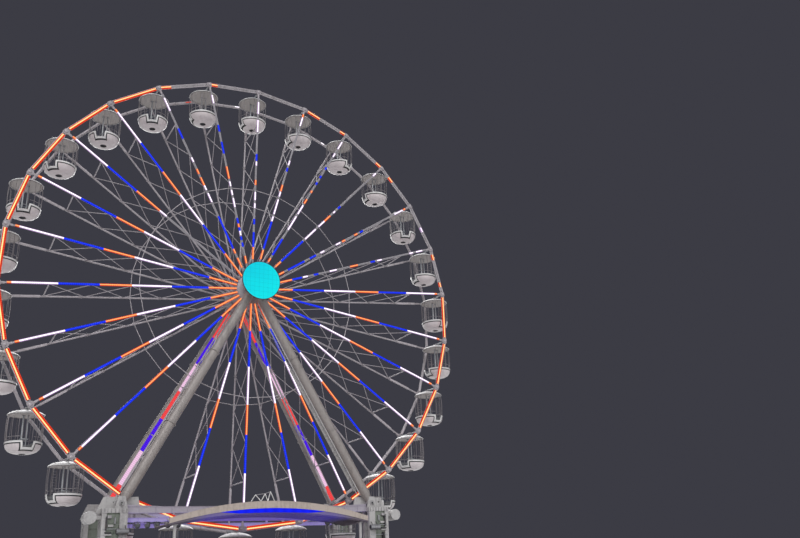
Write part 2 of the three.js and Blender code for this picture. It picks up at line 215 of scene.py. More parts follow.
def lampFinish(name, core, edge, power, roundRim=False):
    # light beads spaced along the spoke, or round the rim
    finish = litFinish(name, power, [c * 0.1 for c in core])
    x, high = finish.axis(0), finish.aboveHub()
    if roundRim:
        along = finish.maths("ARCTAN2", x, high) * lampFacts["rim"]
    else:
        along = finish.maths("POWER", x * x + high * high, 0.5)
    bead = finish.wave(along, lampFacts["pitch"])
    haze = finish.noise(lampFacts["haze"], 2) * 0.25
    finish.set(Emission_Color=finish.mix((bead * 0.75 + haze).clip(), edge, core))
    return finish.bump(bead, 0.3, 0.004)


whitePaint = paintedFinish("white_paint", (0.53, 0.515, 0.51), (0.28, 0.26, 0.27), 0.38, 0.1)
agedPaint = paintedFinish("aged_white_paint", (0.42, 0.40, 0.415), (0.20, 0.185, 0.19), 0.46, 0.15)
wheelPaint = paintedFinish("wheel_paint", (0.52, 0.48, 0.51), (0.28, 0.25, 0.265), 0.42, 0.2)
rodPaint = paintedFinish("rod_paint", (0.42, 0.385, 0.41), (0.22, 0.20, 0.215), 0.45, 0.2)
greyPaint = paintedFinish("grey_paint", (0.36, 0.36, 0.38), (0.16, 0.15, 0.15), 0.42, 0.35)
webPaint = paintedFinish("web_paint", (0.25, 0.28, 0.235), (0.14, 0.15, 0.125), 0.5, 0.2)
# the legs' white paint, darkened below the towers' white as painted shade
legShadePaint = paintedFinish("leg_paint_painted_shade", (0.37, 0.335, 0.32), (0.20, 0.18, 0.17), 0.42, 0.1)
darkSteel = paintedFinish("dark_steel", (0.07, 0.07, 0.08), (0.16, 0.13, 0.11), 0.5, 0.5)
cageSteel = paintedFinish("cage_steel", (0.30, 0.275, 0.285), (0.15, 0.135, 0.14), 0.45, 0.4)
rubber = paintedFinish("rubber", (0.025, 0.025, 0.028), (0.08, 0.08, 0.08), 0.7, 0.0, 0.0, 0.6)
zinc = zincFinish("zinc", (0.62, 0.64, 0.66), (0.36, 0.38, 0.40))
boltZinc = zincFinish("bolt_zinc", (0.50, 0.50, 0.50), (0.24, 0.23, 0.22), 0.34)
shellGloss = paintedFinish("cabin_gloss", (0.78, 0.705, 0.715), (0.50, 0.44, 0.45), 0.3, 0.0, 0.6, 0.55)
shellBand = paintedFinish("cabin_band", (0.86, 0.85, 0.84), (0.55, 0.52, 0.50), 0.26, 0.0, 0.7, 0.4)
roofTop = paintedFinish("roof_top", (0.77, 0.76, 0.75), (0.42, 0.40, 0.38), 0.36, 0.0, 0.3)
# the roof's underside is a darker copy of the shell colour: painted shade
roofUnderShade = paintedFinish("roof_under_painted_shade", (0.56, 0.515, 0.495), (0.40, 0.36, 0.35), 0.5, 0.0, 0.0, 0.3)
seatSkin = paintedFinish("seat_skin", (0.20, 0.205, 0.22), (0.10, 0.10, 0.10), 0.55)
canopyPaint = paintedFinish("canopy_paint", (0.56, 0.475, 0.42), (0.33, 0.275, 0.24), 0.44, 0.05)
lampOff = paintedFinish("lamp_off", (0.33, 0.32, 0.35), (0.20, 0.19, 0.20), 0.3, 0.0, 0.3, 0.4)

boardFacts = {"front": 6.2, "pitch": 0.14821, "fibre": (1.2, 26, 26), "tread": 1.6}
screenFacts = {"dot": 0.05, "panel": 0.16, "seam": 0.006}


def boardFinish():
    finish = Finish("deck_board", Metallic=0.0)
    y = finish.axis(1)
    fibre = finish.noise(1.0, 5, 0.6, finish.stretch(*boardFacts["fibre"]))
    count = finish.maths("FLOOR", (y + boardFacts["front"]) / boardFacts["pitch"])
    board = finish.node("TexWhiteNoise", {"noise_dimensions": "1D"}, {"W": count})
    tread = finish.noise(boardFacts["tread"], 4)
    tone = finish.mix((fibre * 0.7 + board * 0.5 - 0.1).clip(), (0.20, 0.165, 0.13), (0.36, 0.31, 0.26))
    finish.set(Base_Color=finish.mix(((tread - 0.5) * 2.4).clip(), tone, (0.25, 0.24, 0.225)))
    finish.set(Roughness=0.62 + (fibre - 0.5) * 0.3)
    return finish.bump(fibre, 0.35, 0.004)


def screenFinish():
    # a field of small light modules in square panels, with nothing shown on it
    finish = litFinish("disc_screen", 1.0, (0, 0, 0))
    x, z, high = finish.axis(0), finish.axis(2), finish.aboveHub()
    dot = finish.wave(x, screenFacts["dot"]) * finish.wave(z, screenFacts["dot"])
    seams = []
    for axis in (x, high):
        wrapped = finish.maths("PINGPONG", axis + screenFacts["panel"], screenFacts["panel"])
        seams.append(finish.maths("LESS_THAN", wrapped, screenFacts["seam"]))
    seam = (seams[0] + seams[1]).clip()
    glow = (x * 0.28 - high * 0.30 + 0.42 + (finish.noise(1.1, 3) - 0.5) * 0.7).clip()
    lit = finish.mix(glow, (0.0, 0.56, 0.70), (0.0, 0.76, 0.78))
    lit = finish.mix((dot * 0.5).clip(), lit, (0.0, 0.86, 0.90))
    lit = finish.mix(seam * 0.5, lit, (0.0, 0.30, 0.36))
    finish.set(Emission_Color=lit, Base_Color=finish.mix(seam, (0.0, 0.05, 0.06), (0.0, 0.02, 0.02)))
    return finish.bump(dot, 0.2, 0.003)


def soffitFinish():
    finish = litFinish("blue_soffit", 1.0, (0, 0, 0))
    bay = finish.maths("PINGPONG", finish.axis(0), 0.3) * 3.3
    haze = finish.noise(2.0, 4)
    lit = finish.mix((bay * 0.6 + haze * 0.5).clip(), (0.0, 0.001, 0.66), (0.0, 0.008, 0.95))
    finish.set(Emission_Color=lit, Base_Color=finish.mix(haze, (0.0, 0.002, 0.05), (0.0, 0.006, 0.09)))
    return finish.bump(haze, 0.1, 0.004)


def paintedGlowFinish(name, base, grime, high, low, top, bottom, reach):
    # paint with a painted violet glow of the canopy lamps, emitted by the paint itself, stronger low down and
    # gone past the reach
    finish = Finish(name, Emission_Strength=1.0)
    x, z = finish.axis(0), finish.axis(2)
    cloud, grain = finish.noise(paint["cloud"], 5), finish.noise(paint["grain"], 4)
    share = ((top - z) * (1 / (top - bottom)) + (cloud - 0.5) * 0.5).clip()
    fade = ((reach - finish.maths("ABSOLUTE", x)) * 0.8).clip()
    # the emission colour is painted lamp light: the unlit steel itself glows violet-blue
    finish.set(Emission_Color=finish.mix(fade, (0, 0, 0), finish.mix(share, high, low)))
    finish.set(Base_Color=finish.mix(((cloud - 0.42) * 1.5 + (grain - 0.5)).clip(), base, grime))
    finish.set(Roughness=0.42 + (grain - 0.5) * 0.2)
    return finish.bump(grain, 0.14, 0.005)


def lensFinish():
    finish = Finish("lamp_lens", Metallic=0.0, Coat_Weight=0.8, Coat_Roughness=0.05)
    cells = finish.cells(22.0)
    finish.set(Base_Color=finish.mix((cells * 1.4).clip(), (0.16, 0.165, 0.18), (0.06, 0.065, 0.075)))
    finish.set(Roughness=0.12 + cells * 0.2)
    return finish.bump(cells, 0.5, 0.01)


def floorFinish():
    finish = Finish("studio_floor", Roughness=0.85)
    finish.set(Base_Color=finish.mix(finish.noise(0.05, 4), (0.80, 0.80, 0.80), (0.85, 0.85, 0.85)))
    return finish.material


boards = boardFinish()
screen = screenFinish()
soffit = soffitFinish()
lens = lensFinish()
# truss paint with a painted violet glow of the canopy lamps, strongest on its lower beam
trussGlowPaint = paintedGlowFinish(
    "truss_paint_painted_glow", (0.42, 0.40, 0.42), (0.25, 0.23, 0.25), (0.02, 0.01, 0.04), (0.05, 0.02, 0.26),
    5.25, 4.75, 9.0,
)
# the canopy's underside: a dark violet base as painted shade, with a painted blue-violet glow of the lamps
underShadeAndGlow = paintedGlowFinish(
    "canopy_underside_painted_shade_and_glow", (0.17, 0.14, 0.18), (0.10, 0.08, 0.11), (0.02, 0.008, 0.10),
    (0.008, 0.004, 0.20), 5.0, 4.4, 5.2,
)
print("finishes mixed")


# Bench tools: each makes one bmesh with its foot at the origin, and a Piece gathers them

scratch = bpy.data.meshes.new("scratch")
up = Vector((0, 0, 1))


class Piece:
    def __init__(self, name, finishes=None):
        self.name = name
        self.shape = bmesh.new()
        self.finishes = finishes if finishes is not None else []

    def add(self, part, finish, place=Matrix(), keep=False):
        if finish not in self.finishes:
            self.finishes.append(finish)
        for face in part.faces:
            face.material_index = self.finishes.index(finish)
            face.smooth = True
        part.to_mesh(scratch)
        if not keep:
            part.free()
        self.press(scratch, place)

    def press(self, mesh, place):
        mesh.transform(place)
        self.shape.from_mesh(mesh)
        mesh.transform(place.inverted())

    def rod(self, finish, start, end, radius, sides=12, far=None):
        self.add(tube((Vector(end) - Vector(start)).length, radius, sides, far), finish, towards(start, end))

    def bar(self, finish, start, end, width, depth, side=(0, 1, 0), edge=0.006):
        part = block(width, depth, (Vector(end) - Vector(start)).length, edge)
        self.add(part, finish, towards(start, end, side))

    def box(self, finish, start, end, edge=0.006):
        # a box between two opposite corners
        low, high = (Vector([pick(pair) for pair in zip(start, end)]) for pick in (min, max))
        size, middle = high - low, (low + high) / 2
        self.add(block(*size, edge), finish, Matrix.Translation((middle.x, middle.y, low.z)))

    def pad(self, finish, foot, halfX, halfY, tall, edge=0.006):
        # a box centred on its foot
        foot, half = Vector(foot), Vector((halfX, halfY, 0))
        self.box(finish, foot - half, foot + half + up * tall, edge)

    def bolts(self, centre, axis, radius, count, size, start=0.0):
        # hexagon heads round a flange
        head = tube(size * 0.7, size, 6, size * 0.93)
        place = towards(centre, Vector(centre) + Vector(axis), up if abs(axis[2]) < 0.9 else (0, 1, 0))
        for i in range(count):
            a = start + tau * i / count
            at = Matrix.Translation((radius * cos(a), radius * sin(a), 0))
            self.add(head, boltZinc, place @ at, True)
        head.free()

    def mesh(self):
        mesh = bpy.data.meshes.new(self.name)
        self.shape.to_mesh(mesh)
        self.shape.free()
        for finish in self.finishes:
            mesh.materials.append(finish)
        mesh.set_sharp_from_angle(angle=radians(38))
        return mesh

    def done(self, body, slot, *nodes):
        piece = show(self.name, self.mesh())
        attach(piece, body)
        if nodes:
            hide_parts(*nodes)


def towards(start, end, side=(0, 1, 0)):
    # carries +Z along start to end, with local Y as near to side as it can be
    start, end = Vector(start), Vector(end)
    along = (end - start).normalized()
    depth = Vector(side) - along * along.dot(Vector(side))
    if depth.length < 1e-4:
        depth = along.orthogonal()
    depth.normalize()
    place = Matrix((depth.cross(along), depth, along)).transposed().to_4x4()
    place.translation = start
    return place


def soften(part, size, segments=1):
    if size:
        bmesh.ops.bevel(
            part, geom=part.edges[:], offset=size, segments=segments, profile=0.5,
            affect="EDGES", material=-1, clamp_overlap=True,
        )
    return part


def pushed(part, faces, reach):
    # gives flat faces their thickness
    made = bmesh.ops.extrude_face_region(part, geom=faces)["geom"]
    bmesh.ops.translate(part, verts=[g for g in made if isinstance(g, bmesh.types.BMVert)], vec=reach)
    bmesh.ops.recalc_face_normals(part, faces=part.faces)
    return part


def tube(length, radius, sides=12, far=None):
    part = bmesh.new()
    tip = radius if far is None else far
    bmesh.ops.create_cone(part, cap_ends=True, segments=sides, radius1=radius, radius2=tip, depth=length)
    bmesh.ops.translate(part, verts=part.verts, vec=(0, 0, length / 2))
    return part


def block(width, depth, length, edge=0.006):
    part = bmesh.new()
    bmesh.ops.create_cube(part, size=1)
    bmesh.ops.scale(part, verts=part.verts, vec=(width, depth, length))
    bmesh.ops.translate(part, verts=part.verts, vec=(0, 0, length / 2))
    return soften(part, edge)


def plate(points, thickness, edge=0.004):
    part = bmesh.new()
    face = part.faces.new([part.verts.new((x, y, 0)) for x, y in points])
    if face.normal.z > 0:
        face.normal_flip()
    return soften(pushed(part, [face], (0, 0, thickness)), edge)


def spun(profile, steps=24, closed=False):
    # a profile of (radius, height) turned round Z
    part = bmesh.new()
    points = [part.verts.new((r, 0, h)) for r, h in profile]
    edges = [part.edges.new(pair) for pair in zip(points, points[1:])]
    if closed:
        edges.append(part.edges.new((points[-1], points[0])))
    turn = {"cent": (0, 0, 0), "axis": (0, 0, 1), "dvec": (0, 0, 0), "angle": tau}
    bmesh.ops.spin(part, geom=points + edges, steps=steps, use_merge=True, **turn)
    bmesh.ops.remove_doubles(part, verts=part.verts, dist=1e-5)
    bmesh.ops.recalc_face_normals(part, faces=part.faces)
    return part


def ringPart(inner, outer, low, high, steps, chamfer=0.01):
    # a flat ring with its outer edges taken off
    near, far = low + chamfer, high - chamfer
    rim = [(outer - chamfer, low), (outer, near), (outer, far), (outer - chamfer, high)]
    return spun([(inner, low), *rim, (inner, high)], steps, True)


def hoop(radius, thick, steps=32, sides=8):
    angles = [tau * i / sides for i in range(sides)]
    return spun([(radius + thick * cos(a), thick * sin(a)) for a in angles], steps, True)


def bent(points, radius, sides=8):
    # a round bar through several points
    part = bmesh.new()
    points = [Vector(p) for p in points]
    foot = towards(points[0], points[1])
    start = bmesh.ops.create_circle(part, cap_ends=True, segments=sides, radius=radius, matrix=foot)
    face = start["verts"][0].link_faces[0]
    for i, at in enumerate(points[1:], 1):
        made = bmesh.ops.extrude_face_region(part, geom=[face])["geom"]
        verts = [g for g in made if isinstance(g, bmesh.types.BMVert)]
        onward = points[min(i + 1, len(points) - 1)]
        place = towards(at, at + (onward - points[i - 1]))
        back = towards(points[i - 1], points[i - 1] + (at - points[max(i - 2, 0)]))
        bmesh.ops.transform(part, matrix=place @ back.inverted(), verts=verts)
        old = face
        face = next(g for g in made if isinstance(g, bmesh.types.BMFace))
        if i > 1:
            bmesh.ops.delete(part, geom=[old], context="FACES_KEEP_BOUNDARY")
    bmesh.ops.recalc_face_normals(part, faces=part.faces)
    return part


def spread(count, low, high):
    return [low + k * (high - low) / (count - 1) for k in range(count)]


def dress(material, *nodes):
    for name in nodes:
        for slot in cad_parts[name].material_slots:
            slot.material = material


def lift(z):
    return Matrix.Translation((0, 0, z))


def moved(at, x, y, z):
    return Vector(at) + Vector((x, y, z))


# The two sides of the wheel

wheel = {
    "hub": 20.5, "rim": 16.3, "half": 1.35, "count": 26, "first": 1.06,
    "tubeGap": 0.1, "tube": 0.044, "rearTube": 0.1, "spoke": 0.0525, "spokeEnds": (0.96, 16.16),
    "ring": 7.8, "ringRod": 0.026, "couplings": (5.72, 10.94),
}
hubFacts = {"drum": 0.6, "half": 1.55, "head": 0.72, "near": 1.65, "far": 2.35, "bore": 0.256}
nodeFacts = {
    "web": [
        (-0.11, -0.24), (0.11, -0.24), (0.21, -0.09), (0.21, 0.10),
        (0.12, 0.16), (-0.12, 0.16), (-0.21, 0.10), (-0.21, -0.09),
    ],
    "cup": [
        (0, 0.085), (0.045, 0.085), (0.06, 0.074), (0.085, 0.074),
        (0.095, 0.06), (0.11, 0.048), (0.11, -0.02), (0, -0.02),
    ],
    "collar": [(0.062, -0.09), (0.13, -0.09), (0.13, 0.0), (0.062, 0.0)], "bolts": 0.138,
}
hub = Vector((0, 0, wheel["hub"]))


def angleOf(i):
    return radians(wheel["first"]) + tau * i / wheel["count"]


def onWheel(angle, radius, y):
    return Vector((radius * sin(angle), y, wheel["hub"] + radius * cos(angle)))


def outOf(angle):
    return onWheel(angle, 1, 0) - hub


def onChord(i, share, radius, y):
    return onWheel(angleOf(i), radius, y).lerp(onWheel(angleOf(i + 1), radius, y), share)


def alongSpoke(angle, near, far, y):
    return onWheel(angle, near, y), onWheel(angle, far, y)


def alongChord(i, near, far, radius, y):
    return onChord(i, near, radius, y), onChord(i, far, radius, y)


def outwards(i, y, face):
    # place at a node: local Y along the spoke, local Z out of the wheel's face
    at = onWheel(angleOf(i), wheel["rim"], y)
    return towards(at, at + Vector((0, face, 0)), at - Vector((0, y, wheel["hub"])))


def hubAt(y):
    return hub + Vector((0, y, 0))


def onAxle(y, face=1):
    return towards(hubAt(y), hubAt(y + face), up)


def nodeFittings(piece, y, face):
    web, cup = plate(nodeFacts["web"], 0.014), spun(nodeFacts["cup"], 20)
    collar = spun(nodeFacts["collar"], 18, True)
    for i in range(wheel["count"]):
        front, back = outwards(i, y, face), outwards(i, y, -face)
        for depth in (-0.058, 0.044):
            piece.add(web, rodPaint, front @ lift(depth), True)
        piece.add(cup, wheelPaint, front @ lift(0.058), True)
        piece.add(collar, greyPaint, back @ lift(0.089) @ Matrix.Rotation(pi, 4, "X"), True)
        at = onWheel(angleOf(i), wheel["rim"], y + face * 0.058)
        piece.bolts(at, (0, face, 0), nodeFacts["bolts"], 6, 0.014, angleOf(i))
    for part in (web, cup, collar):
        part.free()


def spokes(piece, y, face):
    ring = wheel["ring"]
    for i in range(wheel["count"]):
        a = angleOf(i)
        piece.rod(wheelPaint, *alongSpoke(a, *wheel["spokeEnds"], y), wheel["spoke"], 14)
        for r in wheel["couplings"]:
            # bolted couplings where the spoke comes apart for transport
            for side in (-1, 1):
                place = towards(*alongSpoke(a, r + 0.012 * side, r + 2 * side, y))
                piece.add(tube(0.022, 0.098, 16), rodPaint, place)
            piece.bolts(onWheel(a, r + 0.034, y), outOf(a), 0.078, 4, 0.011)
        piece.bar(rodPaint, *alongSpoke(a, 0.86, 1.32, y), 0.17, 0.036)
        for r in (0.93, 1.02, 1.2):
            piece.bolts(onWheel(a, r, y + face * 0.018), (0, face, 0), 0.05, 2, 0.016, a)
        piece.bar(rodPaint, *alongSpoke(a, ring - 0.09, ring + 0.09, y), 0.13, 0.13, edge=0.01)
        piece.rod(wheelPaint, *alongChord(i, 0.01, 0.99, ring, y), wheel["ringRod"], 10)
        for share in (0.06, 0.94):
            place = towards(*alongChord(i, share - 0.02, share + 0.02, ring, y))
            piece.add(tube(0.07, 0.04, 10), greyPaint, place)


def hubFlange(piece, y, face):
    rim = [(1.04, -0.055), (1.05, -0.045), (1.05, 0.030), (1.03, 0.045), (0.80, 0.05), (0.74, 0.058)]
    piece.add(spun([(0.605, -0.055), *rim, (0.605, 0.058)], 52, True), wheelPaint, onAxle(y, face))
    piece.bolts(hubAt(y + face * 0.055), (0, face, 0), 0.69, 24, 0.022)
    piece.bolts(hubAt(y + face * 0.04), (0, face, 0), 0.97, 52, 0.016)


def buildSide(name, face, node):
    # the front rim is a pair of tubes, the rear rim one thick tube, with flanges where each comes apart
    piece = Piece(name)
    y, rim, gap = face * wheel["half"], wheel["rim"], wheel["tubeGap"]
    if face < 0:
        rings, joints = (rim - gap, rim + gap), (0.494, 0.506)
        tubeFacts, flangeFacts = (wheel["tube"], 12), (0.016, 0.062, 12)
    else:
        rings, joints = (rim,), (0.055, 0.49, 0.502, 0.94)
        tubeFacts, flangeFacts = (wheel["rearTube"], 18), (0.02, 0.128, 18)
    for i in range(wheel["count"]):
        for radius in rings:
            piece.rod(wheelPaint, *alongChord(i, 0.055, 0.945, radius, y), *tubeFacts)
            for share in joints:
                place = towards(*alongChord(i, share, share + 0.1, radius, y))
                piece.add(tube(*flangeFacts), rodPaint, place)
        if face < 0:
            for share in (0.1, 0.3, 0.42, 0.58, 0.7, 0.9):
                low, high = (onChord(i, share, r, y) for r in rings)
                piece.bar(wheelPaint, low, high, 0.055, 0.014, edge=0.003)
        else:
            along = onChord(i, 1, 1, 0) - onChord(i, 0, 1, 0)
            piece.bolts(onChord(i, 0.508, rim, y), along, 0.114, 8, 0.01)
    nodeFittings(piece, y, face)
    spokes(piece, y, face)
    hubFlange(piece, y, face)
    piece.done("wheel", "white_steel", node)


buildSide("front_side", -1, "front_wheel_frame")
buildSide("rear_side", 1, "rear_wheel_frame")
print("wheel sides built")


# Cross bracing between the two sides

bracing = {
    "levels": (0.817, 0.662, 0.507, 0.352, 0.197), "reach": 1.297, "rod": 0.025, "strut": 0.04,
    "foot": (0.64, 0.85), "sleeve": 0.68, "sleeveHalf": 0.95, "plates": (15.86, 16.08),
}


def buildBracing():
    piece = Piece("cross_bracing")
    reach = bracing["reach"]
    radii = [share * wheel["rim"] for share in bracing["levels"]]
    ends = [(r, reach) for r in radii] + [bracing["foot"]]
    for i in range(wheel["count"]):
        a = angleOf(i)
        out = outOf(a)
        piece.rod(wheelPaint, *(onWheel(a, radii[0], y) for y in (-reach, reach)), bracing["strut"], 10)
        for (high, wide), (low, narrow) in zip(ends, ends[1:]):
            for side in (-1, 1):
                start, end = onWheel(a, high, side * wide), onWheel(a, low, -side * narrow)
                piece.rod(wheelPaint, start, end, bracing["rod"], 8)
            # clamp where the two rods cross
            centre = onWheel(a, high - (high - low) * wide / (wide + narrow), 0)
            piece.bar(greyPaint, centre - out * 0.06, centre + out * 0.06, 0.07, 0.09)
        for r in radii:
            for y in (0.06 - reach, reach - 0.06):
                piece.bar(rodPaint, *alongSpoke(a, r - 0.12, r + 0.12, y), 0.012, 0.11, edge=0.002)
        for y in (-wheel["half"], wheel["half"]):
            # short plates from each node down to its spoke
            piece.bar(rodPaint, *alongSpoke(a, *bracing["plates"], y), 0.16, 0.012, edge=0.002)
    half = bracing["sleeveHalf"]
    sleeve = ringPart(hubFacts["drum"] + 0.002, bracing["sleeve"], -half, half, 52)
    piece.add(sleeve, wheelPaint, onAxle(0))
    piece.done("wheel", "white_steel", "wheel_bracing")


buildBracing()
print("bracing built")


# Lamp strips on the spokes and the rim, and the unlit lenses between their runs

spokeLamps = {
    # colour runs by distance from the hub, outer end first; cabins 1 to 6, 23, 25 and 26 have gaps
    "whole": "r 15.73 15.48 w 15.48 12.81 b 12.81 10.30 r 10.30 8.28 w 8.28 5.67 b 5.67 3.13 r 3.13 1.12",
    23: "r 15.73 15.48 w 15.48 12.81 b 12.81 10.30 r 10.30 8.28 w 8.28 7.70",
    25: "w 15.4 14.36 b 12.89 12.07 w 10.52 10.16 r 9.59 9.19 r 8.9 8.27 w 8.24 7.88 w 7.61 6.91"
        " b 5.76 3.18 r 3.15 2.8 r 2.44 1.68",
    26: "w 15.36 14.68 b 12.86 12.34 b 11.48 10.54 r 9.49 8.52 w 8.28 7.92 w 7.6 7.21 w 6.97 6.27"
        " b 5.4 4.99 r 4.95 4.7 b 4.66 4.42 w 4.4 4.07 b 3.97 3.7 b 3.5 3.19 r 2.47 1.92",
    1: "w 15.34 14.33 w 13.76 12.72 b 10.8 10.24 w 10.15 9.83 r 8.61 8.21 w 7.61 6.96 w 6.68 6.31"
       " b 5.42 5.0 b 4.36 3.2 r 3.19 2.26",
    2: "r 15.76 15.45 w 15.45 14.61 w 11.2 10.79 b 10.52 10.2 r 8.93 8.36 w 8.3 7.89 w 7.6 6.31"
       " w 6.08 5.68 b 5.63 3.32 r 3.18 2.44",
    3: "w 15.42 14.62 w 14.07 13.7 b 12.46 12.23 b 11.5 11.26 b 10.78 10.53 r 9.85 9.64 r 8.92 8.47"
       " w 8.26 7.36 w 7.09 5.72 b 4.79 3.2 r 2.88 2.55",
    4: "w 15.41 15.02 b 10.54 10.24 w 9.85 9.63 r 9.23 8.49 w 8.47 7.75 w 7.37 6.1 b 5.84 3.3 r 3.19 2.61",
    5: "r 15.67 15.46 w 15.34 14.43 b 10.88 10.56 r 10.28 9.96 r 8.98 8.67 w 8.46 8.03 w 6.83 6.46"
       " b 6.0 5.41 b 4.87 3.3 r 2.92 2.48",
    6: "w 15.37 14.75 w 14.42 14.07 w 11.31 10.89 b 10.67 10.26 r 9.06 8.35 w 7.12 6.51 b 5.5 5.12"
       " w 4.58 4.2 b 4.09 3.3 r 3.24 2.29",
}
rimLamps = {
    # lit shares of each chord, counted from its anticlockwise node
    "whole": "r 0.075 0.925", 25: "r 0.038 0.227", 26: "r 0.041 0.156", 1: "",
    2: "r 0.077 0.355 r 0.849 0.961", 3: "r 0.84 0.965", 4: "r 0.246 0.372",
    5: "w 0.505 0.608", 6: "r 0.135 0.253 r 0.747 0.843",
}
rearRimLamps = {2: "w 0.72 0.79", 25: "r 0.72 0.83", 26: "w 0.74 0.90"}
lampWidths = {
    "spoke": 0.16, "core": 0.075, "rear": 0.05, "rim": 0.25, "rimCore": 0.075, "rearRim": 0.07, "off": 0.085,
    "ends": (1.12, 15.76), "clips": 29, "firstClip": 1.3, "clipPitch": 0.5, "box": (13.5, 15.3),
}
lampCores = {
    "r": lampFinish("lamp_red", (1.0, 0.42, 0.15), (0.95, 0.30, 0.09), 1.3),
    "w": lampFinish("lamp_white", (1.0, 0.95, 1.0), (0.88, 0.80, 0.92), 1.6),
    "b": lampFinish("lamp_blue", (0.02, 0.07, 1.0), (0.0, 0.012, 0.75), 1.1),
}
lampGlows = {
    "r": lampFinish("glow_red", (0.85, 0.045, 0.008), (0.55, 0.018, 0.002), 1.0),
    "w": lampFinish("glow_white", (0.50, 0.34, 0.58), (0.36, 0.22, 0.45), 1.0),
    "b": lampFinish("glow_blue", (0.0, 0.012, 0.72), (0.0, 0.004, 0.48), 1.0),
}
rimCores = {
    "r": lampFinish("rim_red", (1.0, 0.66, 0.30), (0.98, 0.50, 0.18), 1.6, True),
    "w": lampFinish("rim_white", (1.0, 0.95, 1.0), (0.88, 0.80, 0.92), 1.5, True),
}
rimGlows = {
    "r": lampFinish("rim_glow", (0.80, 0.05, 0.01), (0.52, 0.016, 0.002), 1.0, True),
    "w": lampGlows["w"],
}


def runsOf(row):
    words = row.split()
    return [(c, float(a), float(b)) for c, a, b in zip(words[::3], words[1::3], words[2::3])]


def strip(piece, finish, ends, face, wide, deep):
    # a half-round diffuser
    start, end = ends
    part = bmesh.new()
    bmesh.ops.create_circle(part, cap_ends=True, segments=12, radius=wide / 2)
    whole = part.verts[:] + part.edges[:] + part.faces[:]
    bmesh.ops.bisect_plane(part, geom=whole, plane_co=(0, 0, 0), plane_no=(0, -1, 0), clear_outer=True)
    bmesh.ops.scale(part, verts=part.verts, vec=(1, deep / (wide / 2), 1))
    pushed(part, part.faces[:], (0, 0, (end - start).length))
    piece.add(part, finish, towards(start, end, (0, face, 0)))


def buildSpokeLamps(name, face):
    piece = Piece(name)
    y = face * (wheel["half"] + wheel["spoke"] + 0.012)
    lit = y + face * 0.01
    wide = lampWidths["spoke" if face < 0 else "rear"]
    first, last = lampWidths["ends"]
    for i in range(wheel["count"]):
        a = angleOf(i)
        row = spokeLamps.get(i + 1) if face < 0 else None
        runs = runsOf(row or spokeLamps["whole"])
        piece.bar(rodPaint, *alongSpoke(a, first, last, y), wide - 0.02, 0.02, edge=0.004)
        for colour, far, near in runs:
            core, glow = lampCores[colour], lampGlows[colour]
            if face < 0:
                strip(piece, glow, alongSpoke(a, near, far, lit), face, wide, 0.04)
                strip(piece, core, alongSpoke(a, near, far, lit - 0.036), face, lampWidths["core"], 0.012)
            else:
                strip(piece, core, alongSpoke(a, near, far, lit), face, wide, 0.02)
        if row:
            edges = [last] + [r for run in runs for r in run[1:]] + [first]
            for far, near in zip(edges[::2], edges[1::2]):
                if far - near > 0.05:
                    ends = alongSpoke(a, near + 0.01, far - 0.01, lit)
                    strip(piece, lampOff, ends, face, lampWidths["off"], 0.03)
        if face > 0:
            # cheeks that hide the rear strips from the front, and a wide unlit box near the rim
            side = outOf(a).cross(Vector((0, 1, 0)))
            for s in (-1, 1):
                off = side * (s * (wide / 2 + 0.006)) + Vector((0, 0.012, 0))
                ends = [at + off for at in alongSpoke(a, first, last, y)]
                piece.bar(rodPaint, *ends, 0.01, 0.046, edge=0.002)
            ends = alongSpoke(a, *lampWidths["box"], wheel["half"])
            piece.bar(wheelPaint, *ends, 0.15, 0.115, edge=0.012)
        for k in range(lampWidths["clips"]):
            r = lampWidths["firstClip"] + lampWidths["clipPitch"] * k
            piece.bar(greyPaint, *alongSpoke(a, r, r + 0.035, y - face * 0.035), 0.112, 0.09, edge=0.004)
    piece.done("wheel", "display")


def buildRimLamps():
    piece = Piece("rim_lamps")
    rim, y, front = wheel["rim"], -wheel["half"] - 0.045, Vector((0, -0.016, 0))
    for i in range(wheel["count"]):
        piece.bar(agedPaint, *alongChord(i, 0.07, 0.93, rim, y + 0.02), 0.07, 0.03, edge=0.004)
        for colour, near, far in runsOf(rimLamps.get(i + 1, rimLamps["whole"])):
            core, glow = rimCores[colour], rimGlows[colour]
            start, end = alongChord(i, near, far, rim, y)
            inward = ((hub - start) + (hub - end)).normalized() * 0.03
            inward.y = 0
            piece.bar(glow, start + inward, end + inward, lampWidths["rim"], 0.04, edge=0.012)
            piece.bar(core, start + front, end + front, lampWidths["rimCore"], 0.03, edge=0.01)
    # the rear rim shows only a few faint runs, red ones without a bright core
    rearFinishes = {"r": rimGlows["r"], "w": rimCores["w"]}
    for number, row in rearRimLamps.items():
        for colour, near, far in runsOf(row):
            ends = alongChord(number - 1, near, far, rim, wheel["half"] - 0.108)
            piece.bar(rearFinishes[colour], *ends, lampWidths["rearRim"], 0.045, edge=0.012)
    piece.done("wheel", "display")


buildSpokeLamps("front_spoke_lamps", -1)
buildSpokeLamps("rear_spoke_lamps", 1)
buildRimLamps()
print("lamp strips built")


# Hub, axle, leg heads and the round display

disc = {"radius": 1.38, "back": 3.27, "front": 3.39, "arm": 0.16, "foot": 0.27}


